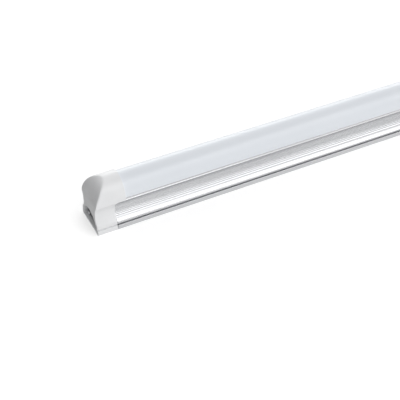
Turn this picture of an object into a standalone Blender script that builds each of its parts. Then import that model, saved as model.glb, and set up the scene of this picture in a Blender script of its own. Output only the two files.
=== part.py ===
"""Integrated LED light tube with a backup cell: extruded base, frosted cover, moulded end caps.

The tube lies along X and rests on its base, light side up (+Z). The origin is the centre of
the base. Units are metres; the section's sizes are written in millimetres times MM.
"""

import math

import bmesh
import bpy
from mathutils import Matrix, Vector

MM = 0.001
GAP = 0.3 * MM                      # clearance between pieces that touch

# Driving sizes of the tube
LENGTH = 600 * MM
HALF_LENGTH = LENGTH / 2
COVER_TOP = 39.9 * MM
DOME_Z = 27.05 * MM                 # centre of the cover's round top
JOINT_Z = 26.0 * MM                 # where the cover meets the extrusion
LIP_Y = 12.85 * MM                  # half width at that joint

# Extruded base, half section: a clip flange, a clip groove, a waist and a flared lip
FLANGE_Y = 15.5 * MM
FLANGE_TOP = 4.1 * MM
GROOVE_Y = 13.4 * MM
GROOVE_TOP = 5.0 * MM
SHOULDER_Y = 14.8 * MM
SHOULDER_Z = 6.4 * MM
WAIST_Y = 10.1 * MM
WAIST_LOW = 14.6 * MM
WAIST_HIGH = 16.5 * MM
FLARE_Y = 12.5 * MM
FLARE_Z = 24.1 * MM
LIP_LOW = 24.5 * MM
LIP_TOP = JOINT_Z - 0.25 * MM
LOWER_RADIUS = ((SHOULDER_Y - WAIST_Y) ** 2 + (WAIST_LOW - SHOULDER_Z) ** 2) / (
    2 * (SHOULDER_Y - WAIST_Y))
UPPER_RADIUS = ((FLARE_Y - WAIST_Y) ** 2 + (FLARE_Z - WAIST_HIGH) ** 2) / (
    2 * (FLARE_Y - WAIST_Y))
WALL = 1.05 * MM
FLOOR_TOP = 1.3 * MM
CAVITY_Y = 10.6 * MM
SHELF_LOW = 21.2 * MM
SHELF_TOP = 22.3 * MM
TROUGH_Y = 9.8 * MM                 # half width of the LED trough above the shelf
LEDGE_Z = 24.0 * MM                 # ledge that the cover's legs stand over
LIP_INNER_Y = 11.8 * MM
RIB_LOW = 9.0 * MM
RIB_PITCH = 1.25 * MM
RIB_COUNT = 8
RIB_DEPTH = 0.28 * MM

# Screw channels in the lower corners
BOSS_Y = 8.9 * MM
BOSS_Z = 3.1 * MM
BOSS_RADIUS = 1.9 * MM
BOSS_HOLE = 1.25 * MM

# Cover
COVER_WALL = 1.3 * MM
COVER_LEG_OUT = LIP_INNER_Y - GAP
COVER_LEG_IN = COVER_LEG_OUT - 1.1 * MM
COVER_LEG_LOW = LEDGE_Z + GAP

# End caps
CAP_WALL = 5.8 * MM                 # from the end face to the hollow behind its end wall
CAP_SKIN = 1.1 * MM                 # how far the sleeve stands outside the section
CAP_TOP = COVER_TOP + CAP_SKIN
CAP_SIDE_Y = 14.9 * MM              # widest part of the sleeve's lower sides
CAP_DOME_Y = LIP_Y + CAP_SKIN
CAP_LONG = 24.8 * MM                # over the cover
CAP_SHORT = 16.2 * MM               # over the extrusion
CAP_STEP_Z = 24.3 * MM
CAP_STEP_RADIUS = 2.5 * MM
CAP_ROUND = 13.0 * MM               # reach of the rounding from the end face over to the dome
CAP_ROUND_Z = 24.5 * MM             # where that rounding starts
CAP_ROUND_POWER = 1.5               # below 2 it leans back more than an ellipse
CAP_GROOVE_LOW = 4.0 * MM
CAP_GROOVE_TOP = 4.8 * MM
CAP_GROOVE_DEPTH = 0.9 * MM
CAP_GROOVE_SLOPE = 0.15 * MM
TRIM_Y = 12.0 * MM                  # the flanges are cut back to here under the caps
TRIM_TOP = 9.0 * MM
RECESS_Y = 13.0 * MM                # arched recess in the end face
RECESS_TOP = 14.3 * MM
RECESS_LOW = 1.0 * MM               # a thin strip of the end wall runs under it
RECESS_DEPTH = 4.4 * MM
PLATE_THICK = 0.9 * MM              # socket's face plate, seated in the recess
PLATE_LOW = RECESS_LOW + GAP
SOCKET_LOW_Y = 5.0 * MM             # trapezium opening for the supply plug
SOCKET_LOW_Z = 2.4 * MM
SOCKET_TOP_Y = 2.7 * MM
SOCKET_TOP_Z = 11.2 * MM
SOCKET_WALL = 1.0 * MM
SOCKET_DEPTH = 8.0 * MM
SOCKET_BACK = 3.0 * MM
PIN_RADIUS = 0.75 * MM
PIN_PLACES = {
    "live": (-2.7 * MM, 4.7 * MM),
    "neutral": (2.7 * MM, 4.7 * MM),
    "earth": (0.0, 8.4 * MM),
}

HOUSING_END = HALF_LENGTH - CAP_WALL - GAP
COVER_END = HALF_LENGTH - CAP_ROUND - GAP
PLATE_BACK = HALF_LENGTH - RECESS_DEPTH + GAP
SOCKET_FRONT = PLATE_BACK + PLATE_THICK

# Fasteners
SCREW_SHANK = 0.9 * MM
SCREW_HEAD_RADIUS = 1.7 * MM
SCREW_HEAD = 1.1 * MM
SCREW_LENGTH = 9 * MM
SCREW_SLOTS = ((0.35 * MM, 2.2 * MM), (2.2 * MM, 0.35 * MM))    # the two arms of the cross, Y by Z
HOLE_LENGTH = 6 * MM                # of the cutter for a screw's hole
EARTH_X = -274 * MM
EARTH_SHANK = 1.2 * MM
LUG_RADIUS = 3.4 * MM
LUG_THICK = 0.8 * MM
RIVET_RADIUS = 2.2 * MM
RIVET_HEAD = 1.0 * MM
LED_SLOT_X = -116 * MM              # where the LED leads come up through the shelf

# Circuit boards and the pieces on them
TRAY_START = -262 * MM
TRAY_END = -58 * MM
TRAY_Y = 10.3 * MM
TRAY_LOW = BOSS_Z + BOSS_RADIUS + GAP
TRAY_WALL = 0.5 * MM
TRAY_TOP = 8.4 * MM
BOARD_LOW = TRAY_LOW + TRAY_WALL + GAP
BOARD_THICK = 1.2 * MM
BOARD_TOP = BOARD_LOW + BOARD_THICK
BOARD_Y = TRAY_Y - TRAY_WALL - GAP
PART_LOW = BOARD_TOP + GAP
LED_BOARD_Y = 6.0 * MM
LED_BOARD_LOW = SHELF_TOP + GAP
LED_BOARD_TOP = LED_BOARD_LOW + 1.0 * MM
LED_BOARD_END = COVER_END - 2.0 * MM
LED_PITCH = 12.0 * MM
LED_COUNT = 46
LED_LENGTH = 3.5 * MM
LED_WIDTH = 2.8 * MM
LED_HEIGHT = 0.8 * MM
LED_TRACK = 0.25 * MM

DRIVER_START = -258 * MM
DRIVER_END = -128 * MM
EMERGENCY_START = -122 * MM
EMERGENCY_END = -62 * MM
PLUG_END = -61 * MM
PLUG_Y = 3.3 * MM
PLUG_LOW = 0.6 * MM                 # above the board's surface
PLUG_TOP = 5.0 * MM
PIN_TAIL = 4 * MM
PIN_REACH = 3 * MM
FOAM_LOW = 5.4 * MM
FOAM_Y = 7 * MM
FOAM_LENGTH = 4 * MM

# Pieces on the boards, in millimetres: centre in X and Y; length, width and height; bevel
BOARD_BLOCKS = {
    "bridge_rectifier": ((-234.0, -3.5), (6.4, 7.0, 2.6), 0.3),
    "switching_chip": ((-187.0, -4.0), (5.0, 4.0, 1.6), 0.2),
    "transformer": ((-172.0, 0.0), (14.0, 14.5, 11.4), 1.0),
    "output_diode": ((-158.0, 4.5), (4.6, 2.8, 2.2), 0.2),
    "charger_chip": ((-100.0, -3.0), (5.0, 4.0, 1.6), 0.2),
    "changeover_relay": ((-84.0, 1.5), (12.0, 8.0, 7.5), 0.4),
    "battery_header": ((-70.0, 0.0), (5.0, 8.0, 5.6), 0.3),
}
# Round ones: centre in X and Y; axis; radius; length; bevel
BOARD_CANS = {
    "fuse": ((-245.0, -5.0), "X", 2.0, 9.0, 0.5),
    "varistor": ((-244.0, 4.5), "Y", 3.6, 2.4, 0.7),
    "input_capacitor": ((-217.0, 0.0), "X", 5.0, 17.0, 0.6),
    "filter_choke": ((-199.0, 0.0), "Z", 3.6, 9.0, 0.8),
    "output_capacitor": ((-146.0, 0.0), "X", 4.0, 12.0, 0.5),
}

# Backup cell pack
CELL_START = -49 * MM
CELL_LENGTH = 65 * MM
CELL_RADIUS = 8.6 * MM
SLEEVE_RADIUS = 9.1 * MM
SLEEVE_WALL = 0.2 * MM
SLEEVE_HOLE = 6.4 * MM
CELL_Z = FLOOR_TOP + GAP + SLEEVE_RADIUS
DISC = 1.0 * MM
LEAD_RADIUS = 0.75 * MM
LED_LEAD_RADIUS = 0.6 * MM
CELL_LEAD_RADIUS = 0.7 * MM

ARC_STEPS = 10
ROUND_STEPS = 14
DOME_STEPS = 24
FLAT = 0.0001                       # radians between faces that count as one flat face
OVERRUN = 5 * MM                    # how far a cutter runs past the piece that it cuts

WHITE = (0.86, 0.86, 0.85)
ALUMINIUM = (0.80, 0.81, 0.82)
FROSTED = (0.86, 0.88, 0.92)
DARK = (0.06, 0.06, 0.065)
BRASS = (0.75, 0.58, 0.26)
STEEL = (0.62, 0.62, 0.64)
GREEN = (0.03, 0.20, 0.09)
BLUE = (0.02, 0.16, 0.62)
RED = (0.60, 0.03, 0.03)
BLACK = (0.02, 0.02, 0.022)
BROWN = (0.20, 0.07, 0.03)
CABLE_BLUE = (0.03, 0.10, 0.45)
EARTH_GREEN = (0.10, 0.42, 0.08)


# ---------------------------------------------------------------- scene and materials

def start_scene():
    for thing in list(bpy.data.objects):
        bpy.data.objects.remove(thing, do_unlink=True)
    parts = bpy.data.collections.new("led_light_tube")
    cutters = bpy.data.collections.new("cutters")
    bpy.context.scene.collection.children.link(parts)
    bpy.context.scene.collection.children.link(cutters)
    return parts, cutters


def material(name, colour, roughness=0.5, metallic=0.0, transmission=0.0):
    found = bpy.data.materials.get(name)
    if found:
        return found
    made = bpy.data.materials.new(name)
    made.use_nodes = True
    shader = made.node_tree.nodes["Principled BSDF"]
    shader.inputs["Base Color"].default_value = (*colour, 1.0)
    shader.inputs["Roughness"].default_value = roughness
    shader.inputs["Metallic"].default_value = metallic
    shader.inputs["Transmission Weight"].default_value = transmission
    return made


PARTS, CUTTERS = start_scene()
ALONG_X = Matrix(((0, 0, 1, 0), (1, 0, 0, 0), (0, 1, 0, 0), (0, 0, 0, 1)))    # outline in Y, Z
ALONG_Y = Matrix(((1, 0, 0, 0), (0, 0, -1, 0), (0, 1, 0, 0), (0, 0, 0, 1)))   # outline in X, Z


def place(thing, finish=None):
    collection = PARTS if finish else CUTTERS
    collection.objects.link(thing)
    if finish:
        thing.data.materials.clear()
        thing.data.materials.append(finish)
    else:
        thing.hide_render = True
        thing.display_type = "WIRE"
    return thing


def as_mesh(name, curve_object, finish=None):
    """A closed mesh of a curve's evaluated shape, with its caps welded and their triangles merged."""
    CUTTERS.objects.link(curve_object)
    bpy.context.view_layer.update()
    shape = curve_object.evaluated_get(bpy.context.evaluated_depsgraph_get())
    mesh = bpy.data.meshes.new_from_object(shape)
    welded = bmesh.new()
    welded.from_mesh(mesh)
    bmesh.ops.remove_doubles(welded, verts=welded.verts, dist=0.000001)
    bmesh.ops.dissolve_limit(welded, angle_limit=FLAT, verts=welded.verts, edges=welded.edges)
    bmesh.ops.recalc_face_normals(welded, faces=welded.faces)
    welded.to_mesh(mesh)
    welded.free()
    mesh.name = name
    made = bpy.data.objects.new(name, mesh)
    made.matrix_world = curve_object.matrix_world.copy()
    bpy.data.objects.remove(curve_object, do_unlink=True)
    return place(made, finish)


def prism(name, outlines, start, end, finish=None, turn=ALONG_X):
    """A flat outline, with any holes, drawn out from start to end along X or Y."""
    curve = bpy.data.curves.new(name + "_outline", "CURVE")
    curve.dimensions = "2D"
    curve.fill_mode = "BOTH"
    curve.extrude = abs(end - start) / 2
    for outline in outlines:
        spline = curve.splines.new("POLY")
        spline.points.add(len(outline) - 1)
        for point, (across, up) in zip(spline.points, outline):
            point.co = (across, up, 0, 1)
        spline.use_cyclic_u = True
    drawn = bpy.data.objects.new(name + "_outline", curve)
    middle = (start + end) / 2
    centre = Vector((middle, 0, 0)) if turn is ALONG_X else Vector((0, middle, 0))
    drawn.matrix_world = Matrix.Translation(centre) @ turn
    return as_mesh(name, drawn, finish)


def box(name, low, high, finish=None, bevel=0.0):
    mesh = bpy.data.meshes.new(name)
    shape = bmesh.new()
    bmesh.ops.create_cube(shape, size=1.0)
    size = [b - a for a, b in zip(low, high)]
    bmesh.ops.scale(shape, vec=size, verts=shape.verts)
    shape.to_mesh(mesh)
    shape.free()
    made = bpy.data.objects.new(name, mesh)
    made.location = [(a + b) / 2 for a, b in zip(low, high)]
    if bevel:
        rounding = made.modifiers.new("rounded_edges", "BEVEL")
        rounding.width = bevel
        rounding.segments = 2
    return place(made, finish)


def rod(name, centre, radius, length, axis="X", finish=None, sides=20, bevel=0.0, tip=None):
    """A round bar; tip gives its far end another radius."""
    mesh = bpy.data.meshes.new(name)
    shape = bmesh.new()
    far = radius if tip is None else tip
    bmesh.ops.create_cone(
        shape, cap_ends=True, segments=sides, radius1=radius, radius2=far, depth=length)
    shape.to_mesh(mesh)
    shape.free()
    mesh.shade_smooth()
    mesh.set_sharp_from_angle(angle=math.radians(40))
    made = bpy.data.objects.new(name, mesh)
    turns = {"X": (0, math.pi / 2, 0), "Y": (math.pi / 2, 0, 0), "Z": (0, 0, 0)}
    made.rotation_euler = turns[axis]
    made.location = centre
    if bevel:
        rounding = made.modifiers.new("rounded_edges", "BEVEL")
        rounding.width = bevel
        rounding.segments = 2
        rounding.limit_method = "ANGLE"
    return place(made, finish)


def combine(target, other, operation="DIFFERENCE"):
    step = target.modifiers.new(operation.lower() + "_" + other.name, "BOOLEAN")
    step.operation = operation
    step.object = other
    if other.name in PARTS.objects:
        PARTS.objects.unlink(other)
        place(other)
    return target


# ---------------------------------------------------------------- outlines

def arc(centre, radii, start, end, steps=ARC_STEPS):
    """Points round an ellipse from one angle to another, in degrees."""
    points = []
    for step in range(steps + 1):
        angle = math.radians(start + (end - start) * step / steps)
        across = centre[0] + radii[0] * math.cos(angle)
        up = centre[1] + radii[1] * math.sin(angle)
        points.append((across, up))
    return points


def without_straight_points(outline):
    """Drop each point that lies on the straight line between its neighbours."""
    kept = []
    for index, point in enumerate(outline):
        before = Vector(kept[-1] if kept else outline[index - 1])
        after = Vector(outline[(index + 1) % len(outline)])
        here = Vector(point)
        turn = (here - before).to_3d().cross((after - here).to_3d()).length
        if turn > 1e-10:
            kept.append(point)
    return kept


def mirrored(half):
    """A whole outline from its +Y half, listed from the bottom up."""
    return without_straight_points(half + [(-y, z) for y, z in reversed(half) if y > 1e-9])


def base_side_y(z, offset=0.0):
    """Half width of the extrusion's side at height z, moved out by offset."""
    if z < WAIST_LOW:
        reach = LOWER_RADIUS - offset
        return WAIST_Y + LOWER_RADIUS - math.sqrt(reach ** 2 - min(WAIST_LOW - z, reach) ** 2)
    if z > WAIST_HIGH:
        reach = UPPER_RADIUS - offset
        return WAIST_Y + UPPER_RADIUS - math.sqrt(reach ** 2 - min(z - WAIST_HIGH, reach) ** 2)
    return WAIST_Y + offset


def side_points(low, high, offset, limit, steps):
    points = []
    for step in range(steps + 1):
        z = low + (high - low) * step / steps
        points.append((min(base_side_y(z, offset), limit), z))
    return points


def ribbed_side():
    """Outer side of the extrusion from its shoulder to its flared lip, with fine ribs."""
    rib_end = RIB_LOW + RIB_COUNT * RIB_PITCH
    points = side_points(SHOULDER_Z, RIB_LOW, 0.0, SHOULDER_Y, 5)
    for rib in range(RIB_COUNT):
        valley = RIB_LOW + (rib + 0.5) * RIB_PITCH
        crest = RIB_LOW + (rib + 1) * RIB_PITCH
        points.append((base_side_y(valley) - RIB_DEPTH, valley))
        points.append((base_side_y(crest), crest))
    points += side_points(rib_end + 0.3 * MM, FLARE_Z, 0.0, FLARE_Y, 9)
    return points


def housing_outline():
    half = [(0.0, 0.0), (FLANGE_Y, 0.0), (FLANGE_Y, FLANGE_TOP), (GROOVE_Y, FLANGE_TOP)]
    half += [(GROOVE_Y, GROOVE_TOP), (SHOULDER_Y, GROOVE_TOP)]
    half += ribbed_side()
    half += [(LIP_Y, LIP_LOW), (LIP_Y, LIP_TOP), (LIP_INNER_Y, LIP_TOP), (LIP_INNER_Y, LEDGE_Z)]
    half += [(TROUGH_Y, LEDGE_Z), (TROUGH_Y, SHELF_TOP), (0.0, SHELF_TOP)]
    return mirrored(half)


def cavity_outline():
    """Lower hollow of the extrusion, stepped round the two screw channels."""
    half = [(0.0, FLOOR_TOP), (BOSS_Y - BOSS_RADIUS, FLOOR_TOP)]
    half += arc((BOSS_Y, BOSS_Z), (BOSS_RADIUS, BOSS_RADIUS), 180, 90, 6)
    half += [(CAVITY_Y, BOSS_Z + BOSS_RADIUS)]
    half += side_points(8.6 * MM, SHELF_LOW, -WALL, CAVITY_Y, 12)
    half += [(0.0, SHELF_LOW)]
    return mirrored(half)


def boss_hole(side):
    return arc((side * BOSS_Y, BOSS_Z), (BOSS_HOLE, BOSS_HOLE), 0, 330, 11)


def cover_outline():
    """A round dome on short upright sides, with two inset legs that drop into the lips."""
    inner_radius = COVER_TOP - DOME_Z - COVER_WALL
    outer = [(COVER_LEG_OUT, COVER_LEG_LOW), (COVER_LEG_OUT, JOINT_Z), (LIP_Y, JOINT_Z)]
    outer += arc((0, DOME_Z), (LIP_Y, COVER_TOP - DOME_Z), 0, 90, DOME_STEPS)
    inner = [(COVER_LEG_IN, COVER_LEG_LOW)]
    inner += arc((0, DOME_Z), (COVER_LEG_IN, inner_radius), 0, 90, DOME_STEPS)
    around = outer + [(-y, z) for y, z in reversed(outer[:-1])]
    under = [(-y, z) for y, z in inner] + list(reversed(inner[:-1]))
    return without_straight_points(around + under)


def cap_outline():
    """Outer section of an end cap."""
    half = [(0.0, 0.0), (FLANGE_Y, 0.0), (FLANGE_Y, CAP_GROOVE_LOW)]
    half += [(CAP_SIDE_Y - CAP_GROOVE_DEPTH, CAP_GROOVE_LOW + CAP_GROOVE_SLOPE)]
    half += [(CAP_SIDE_Y - CAP_GROOVE_DEPTH, CAP_GROOVE_TOP - CAP_GROOVE_SLOPE)]
    half += [(CAP_SIDE_Y, CAP_GROOVE_TOP)]
    half += side_points(7.3 * MM, WAIST_HIGH, CAP_SKIN, CAP_SIDE_Y, 10)
    half += side_points(WAIST_HIGH, FLARE_Z, CAP_SKIN, CAP_DOME_Y, 8)[1:]
    half += arc((0, DOME_Z), (CAP_DOME_Y, CAP_TOP - DOME_Z), 0, 90, DOME_STEPS)
    half[-1] = (0.0, CAP_TOP)
    return mirrored(half)


def cap_hollow_outline():
    """Space inside a cap: the extrusion and cover with a clearance all round."""
    half = [(0.0, -OVERRUN), (TRIM_Y + GAP, -OVERRUN)]
    half += side_points(TRIM_TOP, FLARE_Z, GAP, LIP_Y + GAP, 14)
    half[2] = (TRIM_Y + GAP, TRIM_TOP + GAP)
    half += [(LIP_Y + GAP, LIP_LOW - GAP)]
    half += arc((0, DOME_Z), (LIP_Y + GAP, COVER_TOP + GAP - DOME_Z), 0, 90, DOME_STEPS)
    half[-1] = (0.0, COVER_TOP + GAP)
    return mirrored(half)


def cap_side_outline(side, end_wall, skin):
    """Side view of a cap: an upright end face that leans back and rounds over to the dome."""
    front = HALF_LENGTH - end_wall
    back = HALF_LENGTH - CAP_LONG - 2 * OVERRUN
    middle = HALF_LENGTH - CAP_ROUND
    rounding = []
    for step in range(ROUND_STEPS + 1):
        angle = math.pi / 2 * step / ROUND_STEPS
        ahead = (front - middle) * math.cos(angle) ** (2 / CAP_ROUND_POWER)
        up = (CAP_TOP - skin - CAP_ROUND_Z) * math.sin(angle) ** (2 / CAP_ROUND_POWER)
        rounding.append((middle + ahead, CAP_ROUND_Z + up))
    high = CAP_TOP + OVERRUN
    points = [(front, -2 * OVERRUN)] + rounding + [(middle, high), (back, high), (back, -2 * OVERRUN)]
    return [(side * x, z) for x, z in points]


def cap_step_outline(side):
    """The part of the sleeve's lower side that stops short, with a rounded inner corner."""
    near = HALF_LENGTH - CAP_SHORT
    far = HALF_LENGTH - CAP_LONG - 2 * OVERRUN
    corner = (near - CAP_STEP_RADIUS, CAP_STEP_Z - CAP_STEP_RADIUS)
    points = [(near, -OVERRUN)] + arc(corner, (CAP_STEP_RADIUS, CAP_STEP_RADIUS), 0, 90, 6)
    points += [(far, CAP_STEP_Z), (far, -OVERRUN)]
    return [(side * x, z) for x, z in points]


def recess_outline(inset, low):
    """The arch in the end face; a piece seated in it is inset all round."""
    start = math.degrees(math.asin(low / (RECESS_TOP - inset)))
    half = arc((0, 0), (RECESS_Y - inset, RECESS_TOP - inset), start, 90, 12)
    half[-1] = (0.0, RECESS_TOP - inset)
    return mirrored(half)


def trapezium(grow):
    """The supply socket's section, grown all round."""
    return mirrored([
        (0.0, SOCKET_LOW_Z - grow),
        (SOCKET_LOW_Y + grow, SOCKET_LOW_Z - grow),
        (SOCKET_TOP_Y + grow, SOCKET_TOP_Z + grow),
        (0.0, SOCKET_TOP_Z + grow)])


# ---------------------------------------------------------------- the shells

def make_housing(finish):
    housing = prism("housing_profile", [housing_outline(), cavity_outline(), boss_hole(1), boss_hole(-1)],
                    -HOUSING_END, HOUSING_END, finish)
    trimmed = CAP_SHORT + GAP
    for end in (-1, 1):
        for side in (-1, 1):
            low = [end * (HALF_LENGTH - trimmed), side * TRIM_Y, -OVERRUN]
            high = [end * (HALF_LENGTH + OVERRUN), side * (FLANGE_Y + OVERRUN), TRIM_TOP]
            corners = [sorted(pair) for pair in zip(low, high)]
            combine(housing, box("flange_trim", [c[0] for c in corners], [c[1] for c in corners]))
    slot_low = (LED_SLOT_X - 4 * MM, 7.2 * MM, SHELF_LOW - MM)
    slot_high = (LED_SLOT_X + 4 * MM, 9.6 * MM, SHELF_TOP + MM)
    combine(housing, box("led_wire_slot", slot_low, slot_high))
    combine(housing, rod("earth_rivet_hole", (EARTH_X, 0, 0), EARTH_SHANK + GAP, 4 * MM, "Z", sides=16))
    return housing


def make_cap(side, finish):
    name = "left_end_cap" if side < 0 else "right_end_cap"
    inner_end = side * (HALF_LENGTH - CAP_LONG)
    wide = (-FLANGE_Y - OVERRUN, FLANGE_Y + OVERRUN)
    cap = prism(name, [cap_outline()], inner_end, side * HALF_LENGTH, finish)
    rounding = prism(name + "_rounding", [cap_side_outline(side, 0, 0)], *wide, turn=ALONG_Y)
    combine(cap, rounding, "INTERSECT")
    hollow = prism(name + "_hollow", [cap_hollow_outline()],
                   inner_end - side * OVERRUN, side * (HALF_LENGTH + OVERRUN))
    hollow_end = prism(name + "_hollow_end", [cap_side_outline(side, CAP_WALL, CAP_SKIN - GAP)],
                       *wide, turn=ALONG_Y)
    combine(hollow, hollow_end, "INTERSECT")
    combine(cap, hollow)
    combine(cap, prism(name + "_step", [cap_step_outline(side)], *wide, turn=ALONG_Y))
    face = side * (HALF_LENGTH - RECESS_DEPTH)
    outside = side * (HALF_LENGTH + OVERRUN)
    combine(cap, prism(name + "_recess", [recess_outline(0, RECESS_LOW)], face, outside))
    inside = side * (HALF_LENGTH - CAP_WALL - OVERRUN / 5)
    combine(cap, prism(name + "_socket_opening", [trapezium(SOCKET_WALL + GAP)], inside, outside))
    for place_y in (-BOSS_Y, BOSS_Y):
        hole = rod(name + "_screw_hole", (face, place_y, BOSS_Z), SCREW_SHANK + GAP, HOLE_LENGTH, sides=16)
        combine(cap, hole)
    return cap


def make_shells():
    aluminium = material("extruded_aluminium", ALUMINIUM, 0.35, 1.0)
    frosted = material("frosted_polycarbonate", FROSTED, 0.45, 0.0, 0.35)
    moulding = material("white_moulding", WHITE, 0.4)
    make_housing(aluminium)
    prism("diffuser_cover", [cover_outline()], -COVER_END, COVER_END, frosted)
    for side in (-1, 1):
        make_cap(side, moulding)


def make_cap_screws():
    steel = material("screw_steel", STEEL, 0.3, 1.0)
    for side, end in ((-1, "left"), (1, "right")):
        for place_y, row in ((-BOSS_Y, "front"), (BOSS_Y, "rear")):
            seat = side * (SOCKET_FRONT + GAP)
            screw = rod(f"{end}_cap_screw_{row}", (seat + side * SCREW_HEAD / 2, place_y, BOSS_Z),
                        SCREW_HEAD_RADIUS, SCREW_HEAD, "X", steel, bevel=0.25 * MM)
            shank = rod("shank", (seat - side * SCREW_LENGTH / 2, place_y, BOSS_Z),
                        SCREW_SHANK, SCREW_LENGTH + MM, "X", sides=14)
            combine(screw, shank, "UNION")
            for wide, tall in SCREW_SLOTS:
                low = (seat + side * SCREW_HEAD * 0.45, place_y - wide / 2, BOSS_Z - tall / 2)
                high = (seat + side * 2 * SCREW_HEAD, place_y + wide / 2, BOSS_Z + tall / 2)
                corners = [sorted(pair) for pair in zip(low, high)]
                combine(screw, box("slot", [c[0] for c in corners], [c[1] for c in corners]))


# ---------------------------------------------------------------- supply sockets

def make_socket(side):
    """A face plate seated in the cap's arch, a body behind it and three contact pins."""
    end = "left" if side < 0 else "right"
    moulding = material("dark_moulding", DARK, 0.5)
    brass = material("contact_brass", BRASS, 0.3, 1.0)
    front = side * SOCKET_FRONT
    floor = side * (SOCKET_FRONT - SOCKET_DEPTH)
    back = side * (SOCKET_FRONT - SOCKET_DEPTH - SOCKET_BACK)
    plate = [recess_outline(GAP, PLATE_LOW)]
    socket = prism(f"{end}_socket_body", plate, side * PLATE_BACK, front, moulding)
    body = prism("socket_block", [trapezium(SOCKET_WALL)], back, side * (PLATE_BACK + PLATE_THICK / 2))
    combine(socket, body, "UNION")
    combine(socket, prism("socket_recess", [trapezium(0)], floor, front + side * OVERRUN))
    for y in (-BOSS_Y, BOSS_Y):
        hole = rod("plate_screw_hole", (front, y, BOSS_Z), SCREW_SHANK + GAP, HOLE_LENGTH, sides=16)
        combine(socket, hole)
    for wire, (y, z) in PIN_PLACES.items():
        combine(socket, rod("pin_hole", (back, y, z), PIN_RADIUS + GAP, 3 * SOCKET_BACK, sides=14))
        start = back - side * PIN_TAIL
        stop = floor + side * PIN_REACH
        rod(f"{end}_pin_{wire}", ((start + stop) / 2, y, z), PIN_RADIUS, abs(stop - start), "X", brass,
            sides=14, bevel=0.2 * MM)


# ---------------------------------------------------------------- light engine

def make_light_engine():
    board = material("white_circuit_board", WHITE, 0.45)
    package = material("led_package", (0.85, 0.72, 0.25), 0.4)
    board_low = (-LED_BOARD_END, -LED_BOARD_Y, LED_BOARD_LOW)
    board_high = (LED_BOARD_END, LED_BOARD_Y, LED_BOARD_TOP)
    box("led_board", board_low, board_high, board)
    low = LED_BOARD_TOP + GAP
    top = low + LED_TRACK
    outline = []
    for led in range(LED_COUNT):
        middle = (led - (LED_COUNT - 1) / 2) * LED_PITCH
        near = middle - LED_LENGTH / 2
        far = middle + LED_LENGTH / 2
        outline += [(near, top), (near, top + LED_HEIGHT), (far, top + LED_HEIGHT), (far, top)]
    outline = [(outline[0][0] - 2 * MM, low), (outline[0][0] - 2 * MM, top)] + outline
    outline += [(-outline[0][0], top), (-outline[0][0], low)]
    prism("led_string", [outline], -LED_WIDTH / 2, LED_WIDTH / 2, package, ALONG_Y)


# ---------------------------------------------------------------- driver and emergency circuit

def make_tray():
    tray = material("insulating_liner", (0.75, 0.76, 0.74), 0.5)
    half = [(TRAY_Y, TRAY_LOW), (TRAY_Y, TRAY_TOP), (TRAY_Y - TRAY_WALL, TRAY_TOP)]
    half += [(TRAY_Y - TRAY_WALL, TRAY_LOW + TRAY_WALL)]
    prism("driver_tray", [mirrored(half)], TRAY_START, TRAY_END, tray)


def board_block(name, finish):
    (x, y), size, bevel = BOARD_BLOCKS[name]
    length, width, height = [value * MM for value in size]
    low = (x * MM - length / 2, y * MM - width / 2, PART_LOW)
    high = (x * MM + length / 2, y * MM + width / 2, PART_LOW + height)
    return box(name, low, high, finish, bevel * MM)


def board_can(name, finish):
    (x, y), axis, radius, length, bevel = BOARD_CANS[name]
    height = length / 2 if axis == "Z" else radius
    centre = (x * MM, y * MM, PART_LOW + height * MM)
    return rod(name, centre, radius * MM, length * MM, axis, finish, 24, bevel * MM)


def make_driver():
    green = material("green_circuit_board", GREEN, 0.5)
    for name, start, end in (("driver_board", DRIVER_START, DRIVER_END),
                             ("emergency_board", EMERGENCY_START, EMERGENCY_END)):
        box(name, (start, -BOARD_Y, BOARD_LOW), (end, BOARD_Y, BOARD_TOP), green)
    black = material("component_black", BLACK, 0.45)
    for name in ("bridge_rectifier", "switching_chip", "output_diode", "charger_chip"):
        board_block(name, black)
    header = material("connector_white", (0.82, 0.81, 0.76), 0.45)
    board_block("transformer", material("transformer_tape", (0.80, 0.62, 0.10), 0.45))
    board_block("changeover_relay", material("relay_blue", (0.04, 0.14, 0.36), 0.4))
    board_block("battery_header", header)
    sleeve = material("capacitor_sleeve", (0.03, 0.05, 0.16), 0.35)
    board_can("input_capacitor", sleeve)
    board_can("output_capacitor", sleeve)
    board_can("filter_choke", material("copper_winding", (0.65, 0.26, 0.10), 0.35, 0.9))
    board_can("fuse", material("fuse_sleeve", (0.55, 0.42, 0.28), 0.5))
    board_can("varistor", material("varistor_coating", (0.05, 0.18, 0.42), 0.4))
    (header_x, _), (header_length, _, _), _ = BOARD_BLOCKS["battery_header"]
    start = (header_x + header_length / 2) * MM + GAP
    low = (start, -PLUG_Y, PART_LOW + PLUG_LOW)
    high = (PLUG_END, PLUG_Y, PART_LOW + PLUG_TOP)
    box("battery_plug", low, high, header, 0.3 * MM)


# ---------------------------------------------------------------- backup cell

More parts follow.
